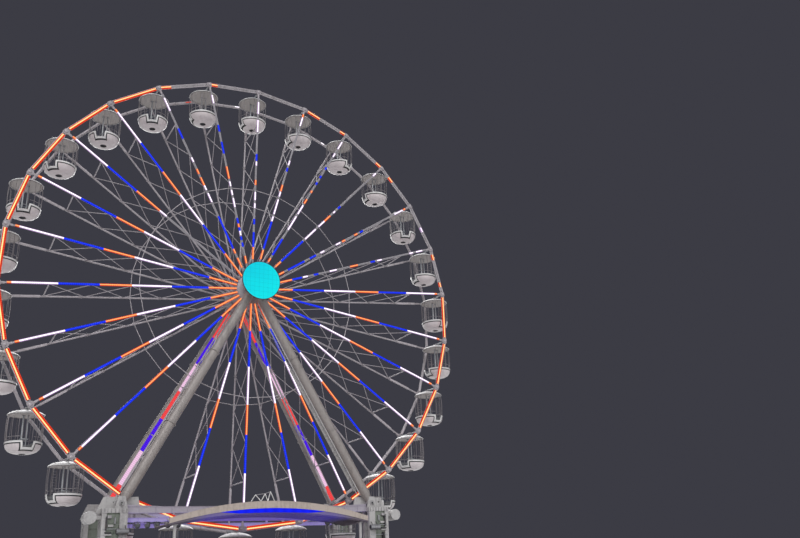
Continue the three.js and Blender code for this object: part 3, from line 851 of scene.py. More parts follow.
def buildHub():
    piece = Piece("hub")
    half, r = hubFacts["half"], hubFacts["drum"]
    low = [(hubFacts["bore"], 0), (0.44, 0), (0.46, 0.02), (0.46, 0.07), (r - 0.02, 0.09), (r, 0.11)]
    high = [(x, 2 * half - z) for x, z in low[::-1]]
    piece.add(spun(low + high, 40, True), greyPaint, onAxle(-half))
    rim = [(r + 0.16, -0.016), (r + 0.17, -0.01), (r + 0.17, 0.01), (r + 0.16, 0.016)]
    for y in (-1.02, 1.02):
        piece.add(spun([(r - 0.01, -0.016), *rim, (r - 0.01, 0.016)], 40, True), greyPaint, onAxle(y))
        piece.bolts(hubAt(y + 0.016), (0, 1, 0), r + 0.11, 26, 0.018)
    for i in range(13):
        a = angleOf(2 * i)
        ends = [onWheel(a, r + 0.1, y) for y in (-1.0, 1.0)]
        piece.bar(greyPaint, *ends, 0.02, 0.07, outOf(a), 0.003)
    for face in (-1, 1):
        piece.bolts(hubAt(face * half), (0, face, 0), 0.37, 16, 0.02)
    piece.done("wheel", "grey_steel", "hub_drum")


def buildHead(word, side):
    piece = Piece("head_" + word)
    r, near, far = hubFacts["head"], hubFacts["near"] + 0.001, hubFacts["far"]
    deep = far - near
    low = [(0, 0), (r - 0.03, 0), (r, 0.03), (r, 0.11), (r - 0.04, 0.13)]
    high = [(x, deep - z) for x, z in low[:0:-1]]
    recess = [(0.40, deep), (0.38, deep - 0.02), (0.30, deep - 0.02), (0.28, deep), (0, deep)]
    # the head body is white steel in grey paint, a darker copy as painted shade
    piece.add(spun(low + high + recess, 44), greyPaint, onAxle(side * near, side))
    for y, face in ((near, -side), (far, side)):
        piece.bolts(hubAt(side * y), (0, face, 0), 0.62, 20, 0.02)
    piece.bolts(hubAt(side * far), (0, side, 0), 0.46, 12, 0.026)
    for i in range(16):
        a = tau * i / 16
        ends = [onWheel(a, r - 0.03, side * y) for y in (near + 0.12, far - 0.12)]
        piece.bar(whitePaint, *ends, 0.018, 0.06, outOf(a), 0.003)
    piece.done("stand", "white_steel", "leg_head_" + word)


def buildDisc():
    piece = Piece("round_display")
    r, front, back, far = disc["radius"], disc["front"], disc["back"], hubFacts["far"] + 0.001
    deep = front - back
    case = [
        (0, 0), (r - 0.05, 0), (r - 0.01, 0.02), (r, 0.04), (r, deep - 0.006), (r - 0.006, deep),
        (r - 0.035, deep), (r - 0.04, deep - 0.012), (0, deep - 0.012),
    ]
    face = [(r - 0.05, deep - 0.002), (r - 0.045, deep - 0.006), (r - 0.045, deep - 0.013)]
    piece.add(spun(case, 72), darkSteel, onAxle(-back, -1))
    piece.add(spun([(0, deep - 0.002), *face, (0, deep - 0.013)], 72), screen, onAxle(-back, -1))
    for i in range(8):
        a = tau * i / 8
        piece.bar(darkSteel, onWheel(a, 0.16, 0.035 - back), onWheel(a, r - 0.08, 0.02 - back), 0.05, 0.06)
    piece.rod(whitePaint, hubAt(-far), hubAt(-back - 0.02), disc["arm"], 24)
    for y in (far, back - 0.045):
        piece.rod(agedPaint, hubAt(-y), hubAt(-y - 0.04), disc["foot"], 24)
    piece.bolts(hubAt(0.045 - back), (0, 1, 0), 0.22, 10, 0.018)
    piece.bolts(hubAt(-far - 0.04), (0, -1, 0), 0.22, 10, 0.018)
    piece.box(darkSteel, moved(hub, -0.35, 0.03 - back, -0.95), moved(hub, 0.35, 0.16 - back, -0.5), 0.02)
    piece.done("stand", "display", "display_disc")


buildHub()
buildHead("front", -1)
buildHead("rear", 1)
buildDisc()
dress(greyPaint, "main_axle")
print("hub and display built")


# Cabins: a tub that turns about its mast, and the hanger above it

cabin = {
    "rim": -2.05, "floor": -2.46,
    "skin": [
        (0.185, -2.695), (0.205, -2.712), (0.42, -2.708), (0.63, -2.660), (0.81, -2.570),
        (0.93, -2.450), (0.995, -2.315), (1.03, -2.18), (1.045, -2.05),
    ],
    "recess": [
        (0, -2.62), (0.16, -2.62), (0.19, -2.67), (0.215, -2.712),
        (0.195, -2.722), (0.172, -2.68), (0.15, -2.63), (0, -2.63),
    ],
    "roof": [
        (0, -0.105), (0.16, -0.107), (0.40, -0.13), (0.66, -0.185), (0.86, -0.255), (0.99, -0.325),
        (1.05, -0.378), (1.07, -0.40), (1.062, -0.418), (1.03, -0.418), (1.01, -0.395), (0, -0.392),
    ],
    "doorTop": 0.33, "doorBottom": 0.26, "doorDeep": 0.40, "band": 0.10, "groove": 0.17, "wall": 0.035,
    "rods": 16, "rod": 0.013,
    "rodLine": ((1.005, -2.07), (1.045, -1.58), (1.05, -1.07), (1.03, -0.64), (0.99, -0.41)),
    "mastX": 0.135, "masts": ((-1, 0.05), (1, 0.03)), "seatGap": 28, "pads": 14, "handGap": 18,
    "turns": [
        -90, -90, 30, -95, -15, -90, 20, -90, 15, -60, 0, -90, 20,
        -30, 0, -20, -60, 10, -30, -75, -60, -5, -40, -25, -15, -105,
    ],
}
doorLean = (cabin["doorTop"] - cabin["doorBottom"]) / cabin["doorDeep"]
cabinFinishes = []


def cutAcross(part, faces, at, normal):
    edges = dict.fromkeys(e for f in faces for e in f.edges)
    verts = dict.fromkeys(v for f in faces for v in f.verts)
    bmesh.ops.bisect_plane(part, geom=[*faces, *edges, *verts], dist=1e-5, plane_co=at, plane_no=normal)


def tubSkin():
    # the open skin, cut along the rim band, its groove and the doorway
    skin = spun(cabin["skin"], 40)
    rim, deep = cabin["rim"], cabin["doorDeep"]
    for inset in (0.0, cabin["band"], cabin["groove"]):
        cuts = [((0, 0, rim - deep - inset), (0, 0, 1))]
        for side in (-1, 1):
            cuts.append(((side * (cabin["doorTop"] + inset), 0, rim), (side, 0, -doorLean)))
        for at, normal in cuts:
            middles = [(f, f.calc_center_median()) for f in skin.faces]
            cutAcross(skin, [f for f, m in middles if m.y < -0.5 and abs(m.x) < 0.8], at, normal)
        if inset:
            cutAcross(skin, skin.faces[:], (0, 0, rim - inset), (0, 0, 1))
    return skin


def depthOf(point):
    # how far a point of the skin lies from the rim or the doorway, below 0 inside the doorway
    down = cabin["rim"] - point.z
    if point.y > -0.4:
        return down
    beside = abs(point.x) - (cabin["doorTop"] - doorLean * down)
    return min(down, max(beside, down - cabin["doorDeep"]))


def tubPart(skin, low, high, out, wall):
    part = skin.copy()
    away = [f for f in part.faces if not low < depthOf(f.calc_center_median()) <= high]
    bmesh.ops.delete(part, geom=away, context="FACES")
    bmesh.ops.recalc_face_normals(part, faces=part.faces)
    if sum(f.normal.dot(f.calc_center_median() - Vector((0, 0, -2.0))) for f in part.faces) < 0:
        bmesh.ops.reverse_faces(part, faces=part.faces)
    for vert in part.verts:
        vert.co += vert.normal * out
    bmesh.ops.solidify(part, geom=part.faces[:], thickness=wall)
    return part


def swept(part, gap, steps):
    # turns an outline round the mast, with a gap of so many degrees each side of the doorway
    turn = Matrix.Rotation(radians(gap - 90), 3, "Z")
    bmesh.ops.rotate(part, verts=part.verts, cent=(0, 0, 0), matrix=turn)
    facts = {"cent": (0, 0, 0), "axis": (0, 0, 1), "angle": radians(360 - 2 * gap)}
    bmesh.ops.spin(part, geom=part.verts[:] + part.edges[:], steps=steps, **facts)
    return part


def seatRing():
    rim, floor = cabin["rim"], cabin["floor"]
    seat = bmesh.new()
    outline = (
        (0.53, floor + 0.02), (0.53, rim - 0.14), (0.57, rim - 0.10), (0.935, rim - 0.09),
        (0.955, rim - 0.14), (0.855, floor + 0.02),
    )
    points = [seat.verts.new((x, 0, z)) for x, z in outline]
    for pair in zip(points, points[1:] + points[:1]):
        seat.edges.new(pair)
    swept(seat, cabin["seatGap"], 30)
    ends = [e for e in seat.edges if e.is_boundary]
    for side in (1, -1):
        bmesh.ops.contextual_create(seat, geom=[e for e in ends if min(v.co.x * side for v in e.verts) > 0])
    bmesh.ops.recalc_face_normals(seat, faces=seat.faces)
    return seat


def tubMould():
    piece = Piece("tub", cabinFinishes)
    skin = tubSkin()
    rim, floor, band, groove = (cabin[word] for word in ("rim", "floor", "band", "groove"))
    piece.add(tubPart(skin, groove, 9, 0.0, cabin["wall"]), shellGloss)
    piece.add(tubPart(skin, band, groove, -0.014, 0.02), rubber)
    piece.add(tubPart(skin, 0.0, band, 0.006, 0.055), shellBand)
    skin.free()
    # recess under the tub, floor, seat ring and back pads
    piece.add(spun(cabin["recess"], 28), darkSteel)
    piece.add(spun([(0, floor), (0.86, floor), (0.86, floor - 0.02), (0, floor - 0.02)], 36), boards)
    piece.add(seatRing(), seatSkin)
    gap, count = cabin["seatGap"], cabin["pads"]
    for i in range(count):
        a = radians(gap - 90 + (360 - 2 * gap) * (i + 0.5) / count)
        at = Vector((0.955 * cos(a), 0.955 * sin(a), rim - 0.1))
        pad = soften(block(0.38, 0.035, 0.14, 0), 0.014, 2)
        piece.add(pad, seatSkin, towards(at, at + up, at.xy.to_3d()))
    cageMould(piece)
    return piece.mesh()


def upright(piece, angle, radius):
    points = [(r * sin(angle), -r * cos(angle), z) for r, z in cabin["rodLine"]]
    piece.add(bent(points, radius, 6), cageSteel)


def cageMould(piece):
    rim = cabin["rim"]
    for i in range(cabin["rods"]):
        upright(piece, tau * (i + 0.5) / cabin["rods"], cabin["rod"])
    # ladder panels each side of the mast, and the hoops that hold the rods
    for side in (-1, 1):
        angles = [side * pi / 2 + off for off in (-0.14, 0.14)]
        for a in angles:
            upright(piece, a, 0.014)
        for k in range(9):
            share = (k + 1) / 10
            r = 1.005 + 0.044 * sin(pi * share * 0.9)
            ends = [Vector((r * sin(a), -r * cos(a), rim + share * 1.6)) for a in angles]
            piece.rod(cageSteel, *ends, 0.009, 6)
    piece.add(hoop(0.99, 0.014, 36, 6), cageSteel, lift(-0.425))
    hand = bmesh.new()
    place = Matrix.Translation((1.02, 0, rim + 0.26)) @ Matrix.Rotation(pi / 2, 4, "X")
    bmesh.ops.create_circle(hand, segments=8, radius=0.016, matrix=place)
    swept(hand, cabin["handGap"], 36)
    bmesh.ops.recalc_face_normals(hand, faces=hand.faces)
    piece.add(hand, cageSteel)


def hangerMould():
    piece = Piece("hanger", cabinFinishes)
    rim, floor = cabin["rim"], cabin["floor"]
    piece.add(spun(cabin["roof"], 44), roofTop)
    # the underside disc and trim ring take the roof finish darkened as painted shade
    piece.add(spun([(0, -0.394), (1.012, -0.397), (1.012, -0.408), (0, -0.405)], 44), roofUnderShade)
    trim = [(0.62, -0.405), (0.635, -0.415), (0.655, -0.415), (0.67, -0.405)]
    piece.add(spun(trim, 40, True), roofUnderShade)
    boss = [(0, -0.13), (0.16, -0.13), (0.18, -0.115), (0.18, -0.09), (0.15, -0.075), (0, -0.075)]
    piece.add(spun(boss, 24), greyPaint)
    piece.bolts((0, 0, -0.09), up, 0.15, 8, 0.014)
    # masts, their feet, and a small round table
    for side, r in cabin["masts"]:
        x = side * cabin["mastX"]
        piece.rod(zinc, (x, 0, floor - 0.01), (x, 0, -0.40), r, 16)
        piece.rod(greyPaint, (x, 0, -0.44), (x, 0, -0.402), r + 0.05, 16)
        piece.rod(greyPaint, (x, 0, floor), (x, 0, floor + 0.03), r + 0.06, 16)
    piece.add(hoop(0.24, 0.018, 28, 8), zinc, lift(rim + 0.22))
    # yoke and axle
    piece.add(block(0.20, 0.15, 0.15, 0.016), agedPaint, lift(-0.09))
    cheek = [(-0.17, -0.085), (0.17, -0.085), (0.10, 0.085), (-0.10, 0.085)]
    for y in (-0.122, 0.138):
        place = Matrix.Translation((0, y, 0)) @ Matrix.Rotation(pi / 2, 4, "X")
        piece.add(plate(cheek, 0.016), agedPaint, place)
    piece.rod(zinc, (0, -1.255, 0), (0, 1.255, 0), 0.052, 20)
    for side in (-1, 1):
        piece.rod(greyPaint, (0, side * 0.16, 0), (0, side * 0.24, 0), 0.082, 18)
        piece.rod(agedPaint, (0, side * 1.19, 0), (0, side * 1.25, 0), 0.085, 18)
    return piece.mesh()


def buildCabins():
    tub, hanger = tubMould(), hangerMould()
    for i, turn in enumerate(cabin["turns"]):
        name = "%02d" % (i + 1)
        piece = Piece("gondola_" + name, cabinFinishes)
        place = Matrix.Translation(onWheel(angleOf(i), wheel["rim"], 0))
        piece.press(tub, place @ Matrix.Rotation(radians(turn), 4, "Z"))
        piece.press(hanger, place)
        piece.done("cabin_" + name, "cabin_shell", "cabin_" + name)


buildCabins()
print("cabins built")


# Legs

leg = {
    "radius": 0.31, "topY": 2.0, "footX": 8.247, "footY": 2.729, "footZ": 5.7, "eye": 0.3, "eyeWidth": 0.42,
    "strip": 0.31, "runs": (0.07, 0.197, 0.331, 0.466, 0.597, 0.742, 0.889, 0.955),
}
ladder = {
    "gap": 0.14, "half": 0.2, "pitch": 0.3, "start": 1.2, "end": 0.9, "firstRung": 1.35, "brackets": 7,
    "tray": 0.25, "trayBack": 0.215, "trayStart": 6.4, "trayEnd": 1.2,
}
legColours = {
    "r": lampFinish("leg_red", (0.92, 0.075, 0.075), (0.74, 0.035, 0.045), 1.0),
    "w": lampFinish("leg_white", (0.92, 0.62, 0.84), (0.68, 0.40, 0.60), 1.0),
    "b": lampFinish("leg_blue", (0.085, 0.008, 0.86), (0.04, 0.003, 0.60), 1.0),
}
sides = (("left", -1), ("right", 1))
corners = [(word, side, x, y) for word, y in (("front", -1), ("rear", 1)) for side, x in sides]


def legLine(sideX, sideY):
    top = Vector((0, sideY * leg["topY"], wheel["hub"]))
    foot = Vector((sideX * leg["footX"], sideY * leg["footY"], leg["footZ"]))
    return foot, top, (foot - top).normalized(), (foot - top).length


def buildLeg(word, side, sideX, sideY):
    piece = Piece("leg_%s_%s_tube" % (word, side))
    foot, top, along, length = legLine(sideX, sideY)
    r, half = leg["radius"], leg["eyeWidth"] / 2

    def sleeve(at, start, end, radius, far=None):
        piece.rod(legShadePaint, at + along * start, at + along * end, radius, 32, far)

    # leg tubes in the white paint darkened as painted shade
    sleeve(top, 0.74, length - 0.62, r)
    sleeve(top, length - 0.62, length - 0.05, r, 0.2)
    for share in (0.34, 0.67):
        joint = top + along * (length * share)
        for step in (-1, 1):
            sleeve(joint, 0.002 * step, 0.036 * step, r + 0.06)
            piece.bolts(joint + along * (0.036 * step), along * step, r + 0.034, 24, 0.017)
    for s in (0.85, length - 0.75):
        sleeve(top, s, s + 0.05, r + 0.03)
    # eye and pin
    piece.rod(agedPaint, moved(foot, 0, -half, 0), moved(foot, 0, half, 0), leg["eye"], 28)
    for s in (-1, 1):
        ends = [moved(foot, 0, s * (half + y), 0) for y in (0, 0.13, 0.108, 0.134)]
        piece.rod(boltZinc, *ends[:2], 0.085, 20)
        piece.rod(darkSteel, *ends[2:], 0.06, 20)
    piece.done("stand", "white_steel", "leg_%s_%s" % (word, side))


def buildLegLamps(side, sideX):
    # a wide colour strip down the front side of a rear leg
    piece = Piece("leg_lamps_" + side)
    top, along, length = legLine(sideX, 1)[1:]
    forward = Vector((-0.12 * sideX, -0.99, 0))
    forward = (forward - along * along.dot(forward)).normalized()
    base = top + forward * (leg["radius"] - 0.012)
    piece.bar(legShadePaint, base + along, base + along * (length - 0.8), 0.36, 0.05, forward)
    base += forward * 0.03
    for colour, near, far in zip("rbwrbwr", leg["runs"], leg["runs"][1:]):
        start, end = base + along * (length * near + 0.01), base + along * (length * far - 0.01)
        piece.bar(legColours[colour], start, end, leg["strip"], 0.05, forward, 0.015)
    piece.done("stand", "display")


def buildLadder():
    # a service ladder beside the front right leg, with a cable tray behind it
    piece = Piece("service_ladder")
    top, along, length = legLine(1, -1)[1:]
    across, under = Vector((0, 1, 0)), up.cross(along).cross(along).normalized()
    off, half, tray = under * (leg["radius"] + ladder["gap"]), ladder["half"], ladder["tray"]

    def rail(finish, at, start, end, wide, deep, side, edge):
        piece.bar(finish, at + along * start, at + along * end, wide, deep, side, edge)

    for s in (-half, half):
        at = top + off + across * s
        rail(whitePaint, at, ladder["start"], length - ladder["end"], 0.03, 0.06, under, 0.004)
    for k in range(int((length - 2.3) / ladder["pitch"])):
        at = top + along * (ladder["firstRung"] + ladder["pitch"] * k) + off
        piece.rod(zinc, at - across * half, at + across * half, 0.012, 6)
    for at in spread(ladder["brackets"], 1.6, length - 1.6):
        for s in (-half, half):
            foot = top + along * at + across * s * 0.8 + under * (leg["radius"] - 0.04)
            piece.bar(agedPaint, foot, top + along * at + off + across * s, 0.05, 0.012, along, 0.003)
    at = top + under * (leg["radius"] + tray / 2) + across * ladder["trayBack"]
    ends = (ladder["trayStart"], length - ladder["trayEnd"])
    rail(whitePaint, at, *ends, tray, 0.02, across, 0.004)
    for s in (-1, 1):
        lip = at + under * (s * (tray / 2 - 0.008)) - across * 0.03
        rail(whitePaint, lip, *ends, 0.014, 0.06, across, 0.003)
    piece.done("stand", "white_steel")


for corner in corners:
    buildLeg(*corner)
for side in sides:
    buildLegLamps(*side)
buildLadder()
print("legs built")


# Towers, trusses and sills: the solids stay, with their fittings on them

tower = {
    "x": 8.62, "y": 2.729, "width": 1.45, "depth": 1.0, "base": 0.35, "cap": 5.14, "top": 5.39, "post": 0.26,
    "web": 2.9, "ribs": (3.46, 4.02, 4.58), "cover": 0.45, "pipes": (3.35, 3.62, 4.25),
    "valves": ((0.10, 5.75, 0.05), (0.52, 4.86, 0.045), (-0.35, 5.62, 0.04)),
    "gear": [
        # across (outwards positive), height, width, height, depth and finish
        (0.46, 4.55, 0.10, 0.75, 0.05, darkSteel), (0.30, 4.92, 0.22, 0.16, 0.07, agedPaint),
        (0.22, 4.42, 0.30, 0.12, 0.08, whitePaint), (0.34, 4.05, 0.38, 0.07, 0.07, darkSteel),
        (0.34, 3.93, 0.42, 0.08, 0.06, whitePaint), (0.30, 3.55, 0.14, 0.42, 0.05, rubber),
        (-0.02, 4.70, 0.09, 0.36, 0.05, greyPaint), (0.12, 3.20, 0.32, 0.24, 0.09, greyPaint),
        (0.36, 2.60, 0.20, 0.50, 0.05, darkSteel),
    ],
}
truss = {
    "beams": ((5.14, 5.52), (4.64, 4.88)), "half": 0.12, "flange": 7.88, "ribs": (16, -7.2, 7.2),
    "boltX": 7.8, "boltZ": (4.70, 4.82, 5.22, 5.33, 5.44),
}
lights = {
    "x": (-7.28, -6.71, -6.16, -5.52, -4.91), "y": -3.0, "z": 4.43, "drum": (8.2, -3.44, 4.1),
    "glass": [(0, 0.0), (0.14, 0.0), (0.15, 0.012), (0.14, 0.02), (0, 0.03)],
}
sill = {"half": 0.2, "wide": 0.225, "reach": 5.6, "jacks": (-5.2, -3.9, -1.5, 0.0, 1.5, 3.9, 5.2)}


def buildTowerFittings(word, side, sideX, sideY):
    piece = Piece("tower_%s_%s_fittings" % (word, side))
    cx, cy = sideX * tower["x"], sideY * tower["y"]
    w, d, post = tower["width"] / 2, tower["depth"] / 2, tower["post"]
    base, cap, top = tower["base"], tower["cap"], tower["top"]
    for x in (-1, 1):
        for y in (-1, 1):
            # foot and head plates with their bolts, and stiffeners
            at = Vector((cx + x * (w - post / 2), cy + y * (d - post / 2), 0))
            piece.bolts(at + up * (base + 0.03), up, 0.215, 4, 0.022, pi / 4)
            piece.pad(agedPaint, at + up * (base + 0.001), 0.2, 0.2, 0.029, 0.004)
            piece.pad(agedPaint, at + up * (cap - 0.03), 0.16, 0.16, 0.03, 0.004)
            for z in (1.6, 3.9):
                piece.pad(agedPaint, at + up * z, 0.145, 0.145, 0.02, 0.003)
    for y in (-1, 1):
        # stiffening ribs and bolt rows on the cap beam
        face = cy + y * d
        for x in spread(7, cx - w + 0.1, cx + w - 0.1):
            piece.box(agedPaint, (x - 0.01, face, cap), (x + 0.01, face + y * 0.05, top - 0.01), 0.002)
        for x in spread(8, cx - w + 0.12, cx + w - 0.12):
            piece.bolts((x, face - y * 0.1, top), up, 0.03, 2, 0.017)
        # cover plate on the inner post, with its screws
        low, high = sorted((cx - sideX * w, cx - sideX * (w - tower["cover"])))
        piece.box(whitePaint, (low, face, 0.42), (high, face + y * 0.012, cap), 0.003)
        for z in spread(12, 0.6, 5.0):
            for x in (low + 0.03, high - 0.03):
                piece.bolts((x, face + y * 0.012, z), (0, y, 0), 0.0, 1, 0.012)
    if sideY < 0:
        # valves, boxes and ducts on the front web and post
        face = cy - d
        for x, z, wide, tall, deep, finish in tower["gear"]:
            low = (cx + sideX * x - wide / 2, face - deep, z - tall / 2)
            piece.box(finish, low, (cx + sideX * x + wide / 2, face + 0.10, z + tall / 2))
        for x, z, radius in tower["valves"]:
            piece.rod(boltZinc, *((cx + sideX * x, face + y, z) for y in (0.2, -0.05)), radius, 16)
        for z in tower["pipes"]:
            piece.rod(zinc, (cx - 0.62, face - 0.03, z), (cx + 0.62, face - 0.03, z), 0.018, 10)
    for y in (-1, 1):
        # web plate and its ribs
        face, reach = cy + y * (d - post / 2 + 0.03), w - post
        ribs = [(z, z + 0.03, 0.04, 0.003) for z in tower["ribs"]]
        for low, high, deep, edge in [(tower["web"], cap - 0.001, 0.004, 0.001), *ribs]:
            piece.box(webPaint, (cx - reach, face, low), (cx + reach, face + y * deep, high), edge)
    piece.done("stand", "white_steel")


def buildPinFittings(word, side, sideX, sideY):
    # keeper plates and bolt rows on the ears that hold a leg's eye
    piece = Piece("pin_%s_%s_fittings" % (word, side))
    foot = legLine(sideX, sideY)[0]
    for s in (-1, 1):
        face = foot.y + s * (leg["eyeWidth"] / 2 + 0.072)
        at = Vector((foot.x, face, foot.z))
        piece.add(ringPart(0.09, 0.175, 0, 0.035, 24), agedPaint, towards(at, moved(at, 0, s, 0), up))
        piece.bolts(moved(at, 0, s * 0.035, 0), (0, s, 0), 0.13, 8, 0.014)
        count, first, pitch = (4, -0.22, 0.15) if s == sideY else (7, -0.78, 0.25)
        for k in range(count):
            x = foot.x + sideX * (first + k * pitch)
            piece.bolts((x, face - s * 0.001, 5.47), (0, s, 0), 0.03, 2, 0.015, pi / 2)
    piece.done("stand", "white_steel")


def buildTrussFittings():
    piece = Piece("truss_fittings")
    flange = truss["flange"]
    for sideY in (-1, 1):
        middle = sideY * tower["y"]
        for low, high in truss["beams"]:
            for s in (-1, 1):
                # flanges and stiffeners make the plain beams read as rolled sections
                face = middle + s * truss["half"]
                for x in spread(*truss["ribs"]):
                    ends = (x - 0.008, face, low + 0.02), (x + 0.008, face + s * 0.03, high - 0.02)
                    piece.box(trussGlowPaint, *ends, 0.002)
                for z in (low, high - 0.02):
                    piece.box(trussGlowPaint, (-flange, face, z), (flange, face + s * 0.035, z + 0.02), 0.003)
        for x in (-truss["boltX"], truss["boltX"]):
            for z in truss["boltZ"]:
                piece.bolts((x, middle - truss["half"], z), (0, -1, 0), 0.05, 2, 0.016)
    piece.done("stand", "white_steel")


def buildSpotlights():
    piece = Piece("spotlights")
    for sideX in (-1, 1):
        for x in lights["x"]:
            at = Vector((-sideX * x, lights["y"], lights["z"]))
            piece.rod(darkSteel, moved(at, 0, 0.17, 0.02), moved(at, 0, -0.07, -0.02), 0.115, 20, 0.165)
            place = towards(moved(at, 0, -0.066, -0.02), moved(at, 0, -0.4, -0.09), up)
            piece.add(spun(lights["glass"], 20), lens, place)
            for s in (-0.175, 0.175):
                piece.bar(darkSteel, moved(at, s, 0, 0), moved(at, s, 0.05, 0.19), 0.014, 0.04)
            piece.bar(darkSteel, moved(at, -0.18, 0.05, 0.19), moved(at, 0.18, 0.05, 0.19), 0.04, 0.014)
            piece.rod(darkSteel, moved(at, 0, 0.05, 0.19), moved(at, 0, 0.1, 0.215), 0.025, 8)
        x, y, z = lights["drum"]
        drum = Vector((sideX * x, y, z))
        piece.rod(greyPaint, moved(drum, -0.34, 0, 0), moved(drum, 0.34, 0, 0), 0.15, 28)
        piece.box(darkSteel, moved(drum, -0.32, -0.12, -0.17), moved(drum, 0.32, 0.12, -0.10), 0.01)
        for s in (-1, 1):
            piece.rod(darkSteel, moved(drum, s * 0.34, 0, 0), moved(drum, s * 0.36, 0, 0), 0.12, 28)
            piece.bar(darkSteel, moved(drum, s * 0.18, 0, 0.12), moved(drum, s * 0.18, 0.2, 0.35), 0.03, 0.04)
        piece.pad(whitePaint, (sideX * 5.45, -2.895, 4.70), 0.07, 0.045, 0.12, 0.01)
    piece.done("stand", "display")


def buildSillFittings():
    piece = Piece("sill_fittings")
    half, wide, reach = sill["half"], sill["wide"], sill["reach"]
    # flanges, web stiffeners and levelling jacks
    for x in (-tower["x"], tower["x"]):
        for z in (0.001, 0.325):
            piece.box(zinc, (x - wide, -reach, z), (x + wide, reach, z + 0.024), 0.003)
        for y in spread(17, -5.4, 5.4):
            for s in (-1, 1):
                face = x + s * half
                piece.box(zinc, (face, y - 0.008, 0.026), (face + s * 0.02, y + 0.008, 0.324), 0.002)
        for y in sill["jacks"]:
            piece.pad(darkSteel, (x, y, 0), 0.31, 0.11, 0.02, 0.004)
            for s in (-0.27, 0.27):
                piece.rod(boltZinc, (x + s, y, 0.02), (x + s, y, 0.13), 0.022, 10)
                piece.rod(boltZinc, (x + s, y, 0.05), (x + s, y, 0.08), 0.045, 6)
    for y in (-tower["y"], tower["y"]):
        for s in (-1, 1):
            for x in spread(14, -7.8, 7.8):
                face = y + s * half
                piece.box(zinc, (x - 0.008, face, 0.026), (x + 0.008, face + s * 0.02, 0.324), 0.002)
    piece.done("stand", "galvanised_steel")


for corner in corners:
    dress(whitePaint, "tower_%s_%s" % corner[:2])
    buildTowerFittings(*corner)
    buildPinFittings(*corner)
# the trusses take the paint with the painted lamp glow
dress(trussGlowPaint, "truss_front", "truss_rear")
dress(zinc, "sill_left", "sill_right", "sill_front", "sill_rear", "sill_centre")
buildTrussFittings()
buildSpotlights()
buildSillFittings()
print("towers and trusses dressed")


# Deck, stair and railings

deck = {
    "x": 7.2, "front": -6.2, "back": 2.1, "low": 1.25, "top": 1.4, "boards": 56, "boardGap": 0.006,
    "edgeLow": 0.99, "joists": 9,
}
stair = {"steps": 7, "going": 0.29, "half": 1.6, "gap": 0.0003, "rails": (0.5, 0.95)}
railing = {
    "inset": 0.08, "bay": 2.5, "post": 0.025, "rail": 0.021, "baluster": 0.009, "pitch": 0.14,
    "top": 1.078, "levels": (0.12, 0.98), "postTop": 1.07,
}


def buildDeck():
    piece = Piece("boarded_deck")
    x, front, back, under = deck["x"], deck["front"], deck["back"], deck["top"] - 0.036
    low, gap = deck["edgeLow"], deck["boardGap"] / 2
    pitch = (back - front) / deck["boards"]
    for k in range(deck["boards"]):
        y = front + k * pitch
        piece.box(boards, (-x, y + gap, deck["top"] - 0.035), (x, y + pitch - gap, deck["top"]), 0.004)
    for at in spread(deck["joists"], 0.05 - x, x - 0.05):
        piece.box(zinc, (at - 0.04, front, deck["low"] - 0.02), (at + 0.04, back, under), 0.004)
    for y, inner in ((front, front + 0.1), (back - 0.02, back - 0.12)):
        piece.box(zinc, (-x, y, low), (x, y + 0.02, under), 0.003)
        for z in (low, 1.345):
            piece.box(zinc, (-x, y, z), (x, inner, z + 0.018), 0.003)
    for s in (-1, 1):
        piece.box(zinc, (s * x, front, 1.13), (s * (x - 0.02), back, under), 0.003)
    for px in (0.1 - x, 0.1 - x / 3, x / 3 - 0.1, x - 0.1):
        for py in (front + 0.1, (front + back) / 2 + 0.1, back - 0.1):
            # a rolled post with its foot plate and bolts
            foot = Vector((px, py, 0.03))
            piece.pad(zinc, foot, 0.1, 0.008, 1.22, 0.002)
            for s in (-0.092, 0.092):
                piece.pad(zinc, moved(foot, s, 0, 0), 0.008, 0.1, 1.22, 0.002)
            piece.pad(darkSteel, (px, py, 0), 0.1, 0.1, 0.03, 0.004)
            piece.bolts(foot, up, 0.07, 4, 0.014, pi / 4)
    for at in (0.1 - x, x - 0.1):
        for low, high in ((0.2, 1.2), (1.2, 0.2)):
            piece.rod(zinc, (at, front + 0.3, low), (at, -2.2, high), 0.014, 8)
    piece.done("stand", "deck_boards", "deck")


def buildStair():
    piece = Piece("open_stair")
    steps, going, half, top = stair["steps"], stair["going"], stair["half"], deck["top"]
    rise, end = top / steps, deck["front"] - stair["gap"]
    start, edge = end - (steps - 1) * going, half - 0.04
    for i in range(steps - 1):
        z, y = (i + 1) * rise, start + i * going
        piece.box(boards, (-edge, y, z - 0.04), (edge, y + going - 0.01, z), 0.005)
        piece.box(zinc, (-edge, y + 0.001, z - 0.055), (edge, y + 0.03, z - 0.041), 0.003)
        piece.box(rubber, (0.02 - edge, y + 0.006, z - 0.001), (edge - 0.02, y + 0.046, z + 0.004), 0.001)
    outline = [(start, 0), (start + 0.3, 0), (end, top - 0.36), (end, top - 0.02), (start, rise * 0.7)]
    for x in (0.02 - half, 0, half - 0.02):
        place = Matrix(((0, 0, 1, x - 0.02), (1, 0, 0, 0), (0, 1, 0, 0), (0, 0, 0, 1)))
        piece.add(plate(outline, 0.04), zinc, place)
    for x in (0.02 - half, half - 0.02):
        feet = Vector((x, start + 0.12, rise)), Vector((x, end - 0.06, top - 0.05))
        for foot in feet:
            piece.rod(zinc, foot, foot + up * 0.95, 0.022, 10)
        for z in stair["rails"]:
            piece.rod(zinc, *(foot + up * z for foot in feet), 0.02, 10)
    piece.done("stand", "deck_boards", "stair")


